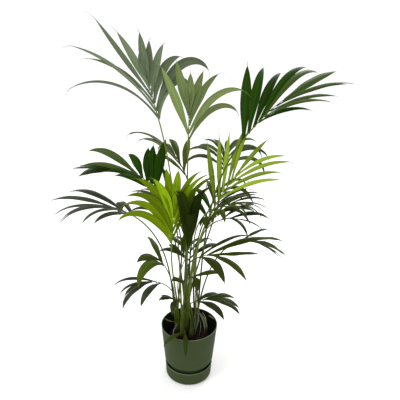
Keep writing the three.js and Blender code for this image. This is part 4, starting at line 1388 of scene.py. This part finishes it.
@dataclass
class StemClump:
    """The short stems in their sheaths: round below, parted into their stalks near the top."""

    stalk_rule: StalkRule
    foot_radius: float = 12.5
    top_radius: float = 11
    flare_radius: float = 15
    flare_height: float = 22
    sides: int = 72
    rings: int = 44
    under: float = 0.9  # how far the sheaths lie under the stem's plain radius
    core: float = 3.0  # the sheaths' radius between two stalks, at the top
    lobe: float = 4.4  # a stalk's radius in its sheath, at the top
    parts_from: float = 0.3  # where the round stem starts to part, as a share of its height
    scar: float = 0.6  # how far the scar of an old leaf stands out
    scars_run: tuple[float, float] = (29.0, 0.5)  # how closely they follow up the stem, and their slant
    scar_edge: int = 8  # over 1 a scar is narrower than the gap to the next
    lump: float = 0.4
    lumps_run: tuple[float, float] = (2.0, 7.0)  # lumps round the stem and up it

    def radius(self, share: float, flare_ends: float) -> float:
        """A stem's plain radius, flared at its foot.

        Args:
            share: how far up the stem, from 0 to 1.
            flare_ends: the share where the flare ends.

        Returns:
            The radius there, in millimetres.
        """
        if share >= flare_ends:
            return mix(self.foot_radius, self.top_radius, (share - flare_ends) / (1 - flare_ends))
        return mix(self.flare_radius, self.foot_radius, math.sin(share / flare_ends * math.pi / 2))

    def stem(self, stem: Stem) -> MeshSketch:
        """A stem's mesh.

        Args:
            stem: the stem.

        Returns:
            Its mesh, with the scars and the lobes of the sheaths that wrap it.
        """
        foot, top = vector(*stem.foot, self.stalk_rule.ground), vector(*stem.top)
        flare_ends = self.flare_height / (top[2] - foot[2])
        shares = np.linspace(0, 1, self.rings + 1)[:, None]
        feet = [p - top for p in self.stalk_rule.feet(stem).values()]
        ribs = [math.atan2(p[1], p[0]) for p in feet]
        ring = max(float(np.linalg.norm(p[:2])) for p in feet)
        (pace, slant), (lumps_round, lumps_up) = self.scars_run, self.lumps_run

        def section(k: int, share: float) -> tuple[float, float]:
            """The stem's section.

            Args:
                k: the side's number.
                share: how far up the stem, from 0 to 1.

            Returns:
                The side's place across and beside, in millimetres.
            """
            turn = TURN * k / self.sides
            plain = self.radius(share, flare_ends) - self.under
            lobes = self.core
            for rib in ribs:
                off = math.atan2(math.sin(turn - rib), math.cos(turn - rib))
                reach = self.lobe**2 - (ring * math.sin(off)) ** 2
                if reach > 0 and (math.cos(off) > 0 or ring < self.lobe):
                    lobes = max(lobes, ring * math.cos(off) + math.sqrt(reach))
            part = min(1.0, max(0.0, (share - self.parts_from) / (1 - self.parts_from)))
            wave = math.sin(share * pace + turn * slant + stem.foot[0])
            spot = on_ring(lumps_round, turn, share * lumps_up) + vector(stem.foot[0], 0, 0)
            r = min(plain, mix(plain, lobes, part * part * (3 - 2 * part)))
            r += self.scar * max(0.0, wave) ** self.scar_edge * (1 - part)
            r += self.lump * noise.noise(Vector(spot))
            return r * math.cos(turn), r * math.sin(turn)

        sketch = MeshSketch()
        sweep(sketch, foot * (1 - shares) + top * shares, section, self.sides, vector(1, 0, 0))
        return sketch

    def dress(self) -> None:
        """Makes each stem as a piece."""
        sheath = FibrousSheath().make()
        for stem in STEMS:
            self.stem(stem).piece(f"{stem.name}_sheaths", [sheath], "stem", [stem.name])


@dataclass(frozen=True)
class Standing:
    """A body that stands already: its owner, the corners of its box and its faces."""

    owner: str
    low: Vec
    high: Vec
    tree: BVHTree

    def cuts(self, other: "Standing") -> bool:
        """Whether two bodies of different owners cross.

        Args:
            other: the other body.

        Returns:
            True where their faces cross.
        """
        if self.owner == other.owner or (self.low > other.high).any() or (other.low > self.high).any():
            return False
        return bool(self.tree.overlap(other.tree))


@dataclass
class Crown:
    """The fronds: stalks and ribs, and the folded leaflets along them."""

    leaf_rule: LeafRule
    stalk_rule: StalkRule
    sides: int = 10
    groove: float = 0.22  # how deep a stalk is grooved along its upper side, of its radius
    clasp: tuple[float, float] = (150.0, 0.32)  # how far a stalk stays thicker at its foot, and by how much
    rib_end: float = 0.8  # a rib's radius at its end, of the solid's
    sheathed: tuple[float, ...] = (46, 34, 22, 11)  # how far under the stem's top a stalk is drawn from
    sheathed_out: tuple[float, float] = (8.6, 7.2)  # and how far off the stem's axis, low and high
    sheathed_size: tuple[float, float] = (0.8, 1.15)  # its radius there, of its foot's, low and high
    across: tuple[float, ...] = (-1, -0.5, 0, 0.5, 1)  # the points over a leaflet, from edge to edge
    edge_drop: tuple[float, float] = (34.0, 10.0)  # how far the halves fold down in degrees, root and tip
    thickness: tuple[float, float] = (0.55, 0.5)  # of the blade, and the share of it left at the tip
    keel: tuple[float, float] = (1.3, 0.35)  # the same for its midrib
    tail: tuple[int, float, float] = (6, 0.17, 2.4)  # the thread at a tip: steps, share of the length, width
    twist: tuple[float, float] = (-14, 14)  # degrees from root to tip
    wave: tuple[float, float] = (0.2, 0.9)  # the height of the edge's wave, in millimetres
    phase: tuple[float, float] = (0, 6.28)  # where the wave starts, once round
    curl: tuple[float, float] = (5, 14)  # how far the thread turns down at each step, in degrees
    waves: tuple[float, float] = (17.0, 1.3)  # how fast the wave runs along, and how far the edges differ
    full_wave: float = 8.0  # the half width from which the wave has its full height
    trials: tuple[float, ...] = (0, 7, -7, 14, -14, 22, -22, 30)  # lifts that may free a leaflet
    seeds_apart: int = 100  # more than a frond has leaflets
    ages: tuple[Age, ...] = (Age.YOUNG, Age.GROWN, Age.GROWN, Age.OLD, Age.OLD)  # how the leaflets' ages fall
    outer_from: float = 0.5  # where the outer half of a rib starts
    yellow: tuple[str, ...] = (
        "front_lime", "right_lime", "tall_left", "tall_middle", "side_right", "inner_right",
    )
    dry: tuple[str, ...] = ("side_right_low", "inner_low_back")
    ways: dict[str, Vec] = field(default_factory=dict)
    placed: list[Standing] = field(default_factory=list)

    def sheath_way(self, frond: Frond) -> list[Vec]:
        """How a stalk comes up inside its stem's sheaths.

        Args:
            frond: the frond that it carries.

        Returns:
            The points that it runs through, from the lowest up, or none where it has no sheath beside it.
        """
        stem = next((s for s in STEMS if s.name == frond.stem), None)
        if stem is None:
            return []
        axis, top = vector(*stem.foot, self.stalk_rule.ground), vector(*stem.top)
        out = (self.ways[frond.name][0] - top) * vector(1, 1, 0)
        if np.linalg.norm(out) <= 1:
            return []
        found = []
        for below in self.sheathed:
            share = (top[2] - below - axis[2]) / (top[2] - axis[2])
            found.append(mix(axis, top, share) + unit(out) * mix(*self.sheathed_out, share))
        return found

    def stalk(self, frond: Frond) -> MeshSketch:
        """A frond's stalk and rib as one limb.

        Args:
            frond: the frond.

        Returns:
            Its mesh, grooved along the top and widened where it clasps the stem.
        """
        way = self.ways[frond.name]
        foot, tip = self.stalk_rule.radii(frond)
        lowest = self.sheath_way(frond)
        points = np.array([*lowest, *way, *self.leaf_rule.rib(frond).points[1:]])
        run = run_along(points)
        at_foot = run[len(lowest)]
        at_base = run[len(lowest) + len(way) - 1]
        clasp_run, clasp_more = self.clasp

        def size(share: float) -> float:
            """The limb's radius.

            Args:
                share: how far along its points, from 0 to 1.

            Returns:
                The radius there, in millimetres.
            """
            s = run[min(len(run) - 1, int(share * (len(points) - 1) + 0.5))]
            if s < at_foot:
                low, high = self.sheathed_size
                return mix(foot * low, foot * high, s / max(1.0, at_foot))
            if s < at_base:
                wider = 1 + clasp_more * math.exp(-(s - at_foot) / clasp_run)
                return mix(foot, tip, (s - at_foot) / (at_base - at_foot)) * wider
            end = self.stalk_rule.rib_tip * self.rib_end
            return mix(tip, end, (s - at_base) / (run[-1] - at_base))

        def section(k: int, share: float) -> tuple[float, float]:
            """The limb's grooved section.

            Args:
                k: the side's number.
                share: how far along its points, from 0 to 1.

            Returns:
                The side's place across and beside, in millimetres.
            """
            turn = TURN * k / self.sides
            r = size(share)
            groove = 1 - self.groove * max(0.0, math.cos(turn)) ** 4
            return r * groove * math.cos(turn), r * math.sin(turn)

        sketch = MeshSketch()
        tilt = vector(0, 0, 0.02)
        sweep(sketch, points, section, self.sides, tilt - heading(frond.azimuth, 0))
        return sketch

    def leaflet(self, leaflet: LeafletLine, dice: Dice) -> MeshSketch:
        """One leaflet's mesh: a long blade folded down from its midrib, closed all round.

        Args:
            leaflet: its line.
            dice: the run that gives its twist, its wavy edge and the curl of its thread.

        Returns:
            Its mesh, with the numbers of its faces as finishes.
        """
        steps = self.leaf_rule.steps
        tail_steps, tail_share, tail_width = self.tail
        twist = math.radians(dice.within(*self.twist))
        wave = dice.within(*self.wave)
        phase = dice.within(*self.phase)
        curl = math.radians(dice.within(*self.curl))
        upper = np.cross(leaflet.across[0], leaflet.line.directions[0])
        side = math.copysign(1, float(upper @ leaflet.above))
        spots = list(leaflet.line.points)
        along = leaflet.line.directions[-1]
        for _ in range(tail_steps):
            pull = np.cross(along, DOWN)
            if np.linalg.norm(pull) > NO_DIRECTION:
                along = turned(along, unit(pull), curl)
            spots.append(spots[-1] + along * (tail_share * leaflet.length / tail_steps))
        last = len(spots) - 1
        points: list[Vec] = []
        for i, middle in enumerate(spots[:-1]):
            share = min(1.0, i / steps)
            thread = tail_width * (last - i) / (tail_steps + 1)
            half = max(self.leaf_rule.width(share) * leaflet.width, thread) / 2
            along = leaflet.line.directions[min(i, steps)]
            wide = turned(leaflet.across[min(i, steps)] * side, along, twist * share)
            over = np.cross(wide, along)
            fold = math.radians(mix(*self.edge_drop, share))
            ring = []
            for c in self.across:
                flutter = wave * math.sin(phase + share * self.waves[0] + c * self.waves[1])
                flutter *= abs(c) ** 3 * min(1, half / self.full_wave)
                drop = abs(c) * half * math.sin(fold) - flutter
                ring.append(middle + wide * (c * half * math.cos(fold)) - over * drop)
            thick, keel = (over * (size * mix(1, left, share)) for size, left in (self.thickness, self.keel))
            ring += [ring[3] - thick, ring[2] - keel, ring[1] - thick]  # back under the blade
            points += [p * MM for p in ring]
        tip = len(points)
        points.append(spots[-1] * MM)
        body = MeshSketch()
        around = (0.0, 0.25, 0.5, 0.75, 1.0, 0.75, 0.5, 0.25)  # each point's flat place, over and back under
        count = len(around)
        for k in range(count):
            n = (k + 1) % count
            u, v = around[k], around[n]
            faces, places = [], []
            for i in range(last - 1):
                a, b = i * count + k, i * count + n
                low, high = i / last, (i + 1) / last
                faces.append((a, b, b + count, a + count))
                places += [(u, low), (v, low), (v, high), (u, high)]
            faces.append(((last - 1) * count + k, (last - 1) * count + n, tip))
            places += [(u, 1 - 1 / last), (v, 1 - 1 / last), (0.5, 1.0)]
            body.add((), faces, places, (Face.UPPER if k < count / 2 else Face.LOWER).value)
        back = range(count - 1, -1, -1)
        body.add((), [tuple(back)], [(around[k], 0.0) for k in back], Face.LOWER.value)
        body.points = points
        return body

    def standing(self, frond: Frond, body: MeshSketch) -> Standing:
        """A body as one that others have to keep clear of.

        Args:
            frond: the frond that it belongs to.
            body: its mesh.

        Returns:
            The body as it stands.
        """
        corners = np.array(body.points)
        tree = BVHTree.FromPolygons([tuple(p) for p in body.points], body.faces)
        return Standing(frond.name, corners.min(0), corners.max(0), tree)

    def leaflets(self, frond: Frond) -> MeshSketch:
        """A frond's leaflets, each turned a little where it would cut through a neighbour.

        Args:
            frond: the frond.

        Returns:
            Their mesh. Its finishes count the inner green's ages and faces and then the outer green's.
        """
        sketch = MeshSketch()
        left_out = 0
        for i, site in enumerate(self.leaf_rule.sites(frond)):
            for trial in self.trials:
                line = self.leaf_rule.leaflets(frond, lambda k: trial if k == i else 0.0)[i]
                dice = Dice(frond.seed * self.seeds_apart + i)
                body = self.leaflet(line, dice)
                standing = self.standing(frond, body)
                if any(standing.cuts(other) for other in self.placed):
                    continue
                self.placed.append(standing)
                age = self.ages[int(dice.within(0, len(self.ages)))]
                first = list(Age).index(age) + (len(Age) if site.at > self.outer_from else 0)
                finishes = [first * len(Face) + face for face in body.finishes]
                sketch.add(body.points, body.faces, body.places, finishes)
                break
            else:
                left_out += 1
        if left_out:
            log.info("%s: %d leaflets left out, as they would cut through a neighbour", frond.name, left_out)
        return sketch

    def dress(self) -> None:
        """Makes each frond's stalk and leaflets as pieces."""
        self.ways = self.stalk_rule.routes()
        leaves = {tone: [PalmLeaf(tone, face, age).make() for age in Age for face in Face] for tone in Tone}
        green = PalmStalk("green_stalk", "2c3a04", "4c5c18").make()
        yellow = PalmStalk("yellow_green_stalk", "4c5e08", "707f22").make()
        straw = PalmStalk("straw_stalk", "5a5036", "857a62").make()
        stalks = {frond.name: self.stalk(frond) for frond in FRONDS}
        self.placed = [self.standing(frond, stalks[frond.name]) for frond in FRONDS]
        for frond in FRONDS:
            blade = frond.name if frond.small else f"{frond.name}_blade"
            finishes = [*leaves[frond.tone], *leaves[frond.outer or frond.tone]]
            self.leaflets(frond).piece(f"{frond.name}_leaflets", finishes, frond.tone.value.slot, [blade])
            skin = straw if frond.name in self.dry else yellow if frond.name in self.yellow else green
            replaced = [] if frond.small else [f"{frond.name}_stalk"]
            stalks[frond.name].piece(f"{frond.name}_stem", [skin], "stalk", replaced)


@dataclass
class DeadLeaves:
    """Dry strips of old leaf that lean in the pot."""

    # Each strip: the points that it runs through in millimetres, its width, and which finish it has.
    strips: tuple[tuple[tuple[tuple[float, float, float], ...], float, int], ...] = (
        (((-112, 12, 266), (-92, 8, 255), (-68, 4, 251)), 6, 0),
        (((-38, -6, 262), (-59, -30, 250), (-67, -50, 231), (-64, -72, 219)), 4, 1),
        (((54, -2, 308), (67, -6, 284), (71, -12, 258), (66, -22, 238)), 8, 0),
        (((79, 22, 277), (94, 16, 272), (108, 8, 266)), 4, 1),
        (((36, -52, 206), (26, -62, 198), (14, -66, 193)), 4, 1),
        (((26, -40, 340), (17, -52, 310), (9, -60, 280), (4, -62, 250)), 9, 2),
        (((30, -34, 334), (38, -50, 306), (30, -60, 272), (26, -62, 236)), 10, 2),
        (((34, -28, 330), (54, -40, 304), (64, -50, 272), (62, -54, 240)), 10, 2),
        (((40, -20, 318), (62, -28, 296), (74, -36, 264), (70, -42, 236)), 8, 2),
        (((22, -40, 322), (24, -58, 292), (18, -64, 262), (16, -64, 232)), 8, 2),
        (((44, -44, 300), (48, -56, 276), (46, -62, 252), (40, -64, 222)), 8, 2),
    )
    steps: int = 16
    sides: int = 8
    narrowest: float = 0.25  # at its ends, of its width
    ends: tuple[float, float] = (0.04, 0.97)  # where the narrowing stops
    thickness: float = 0.7
    cupped: float = 0.9  # how far its edges stand up

    def strip(
        self, sketch: MeshSketch, through: Sequence[tuple[float, float, float]], width: float, finish: int
    ) -> None:
        """Adds one curled strip along the smooth curve through its points.

        Args:
            sketch: the sketch that it goes into.
            through: the points that it runs through.
            width: its full width in millimetres.
            finish: the material number.
        """
        marks = np.array(through, dtype=float)
        fitted = np.polynomial.polynomial.polyfit(np.linspace(0, 1, len(marks)), marks, len(marks) - 1)
        curve = np.polynomial.polynomial.polyval(np.linspace(0, 1, self.steps + 1), fitted).T

        def section(k: int, share: float) -> tuple[float, float]:
            """The strip's thin, cupped section.

            Args:
                k: the side's number.
                share: how far along the strip, from 0 to 1.

            Returns:
                The side's place across and beside, in millimetres.
            """
            turn = TURN * k / self.sides
            low, high = self.ends
            full = math.sin(math.pi * min(high, max(low, share)))
            across = math.cos(turn)
            rise = self.thickness / 2 * math.sin(turn) + self.cupped * across**2
            return width / 2 * mix(self.narrowest, 1, full) * across, rise

        sweep(sketch, curve, section, self.sides, vector(0.3, 0.9, 0.2), finish)

    def dress(self) -> None:
        """Makes the strips as one piece."""
        sketch = MeshSketch()
        for through, width, finish in self.strips:
            self.strip(sketch, through, width, finish)
        tan = DryLeaf("dry_leaf_tan", "7c6438", "4a3a1c").make()
        ashen = DryLeaf("dry_leaf_ashen", "8f8270", "5f5446").make()
        withered = DryLeaf("withered_leaf_olive", "5c6448", "1c220e").make()
        sketch.piece("dry_leaf_strips", [tan, ashen, withered], "compost", (), 70)


# ---------------------------------------------------------------- the studio


@dataclass
class Studio:
    """A white room with soft light, and the camera."""

    camera_at: tuple[float, float, float] = (0.033, -1.660, 1.456)
    pitch: float = -21.0
    roll: float = 1.4
    focal: float = 41.4
    sensor: float = 36.0
    floor_size: float = 14.0
    room_light: float = 1.08
    lamps_aim: tuple[float, float, float] = (0, 0, 0.7)  # the palm's middle
    # Each lamp: its name, where it stands, the length of its side, and its power in watts.
    lamps: tuple[tuple[str, tuple[float, float, float], float, float], ...] = (
        ("key_light", (-1.7, -1.2, 2.9), 1.4, 45),
        ("back_light", (1.2, 2.2, 2.6), 1.6, 40),
    )

    def place(self, name: str, data: bpy.types.ID) -> bpy.types.Object:
        """Adds an object to the scene.

        Args:
            name: its name.
            data: the mesh, lamp or camera that it holds.

        Returns:
            The new object.
        """
        made = bpy.data.objects.new(name, data)
        bpy.context.scene.collection.objects.link(made)
        return made

    def camera(self) -> None:
        """Places the camera."""
        forward = heading(90, self.pitch)
        right = vector(1, 0, 0)
        across = turned(right, forward, math.radians(-self.roll))
        upward = np.cross(across, forward)
        data = bpy.data.cameras.new("camera")
        data.lens = self.focal
        data.sensor_width = self.sensor
        made = self.place("camera", data)
        rotation = Matrix(np.column_stack([across, upward, -forward]).tolist())
        made.matrix_world = Matrix.Translation(self.camera_at) @ rotation.to_4x4()
        bpy.context.scene.camera = made

    def light(self) -> None:
        """Lights the room and adds the square soft lamps that face the palm's middle."""
        world = bpy.data.worlds.new("white_room")
        world.use_nodes = True
        sky = world.node_tree.nodes["Background"]
        fit_node(world.node_tree, sky, {"Color": linear("ffffff"), "Strength": self.room_light})
        bpy.context.scene.world = world
        bpy.context.scene.view_settings.view_transform = "Standard"
        for name, at, size, power in self.lamps:
            data = bpy.data.lights.new(name, "AREA")
            data.shape = "SQUARE"
            data.size = size
            data.energy = power
            made = self.place(name, data)
            made.location = at
            made.rotation_euler = (Vector(self.lamps_aim) - Vector(at)).to_track_quat("-Z", "Y").to_euler()

    def floor(self) -> None:
        """Lays the paper floor."""
        half = self.floor_size / 2
        corners = [(-half, -half, 0), (half, -half, 0), (half, half, 0), (-half, half, 0)]
        mesh = bpy.data.meshes.new("studio_floor")
        mesh.from_pydata(corners, [], [(0, 1, 2, 3)])
        mesh.materials.append(StudioPaper().make())
        made = self.place("studio_floor", mesh)

    def dress(self) -> None:
        """Sets up the room, its lights, the floor and the camera."""
        self.light()
        self.floor()
        self.camera()


def main() -> None:
    """Builds the palm in order."""
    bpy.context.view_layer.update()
    Studio().dress()
    SelfWateringPot().dress()
    CompostBed().dress()
    leaf_rule = LeafRule()
    stalk_rule = StalkRule(leaf_rule)
    StemClump(stalk_rule).dress()
    Crown(leaf_rule, stalk_rule).dress()
    DeadLeaves().dress()


if __name__ == "__main__":
    main()
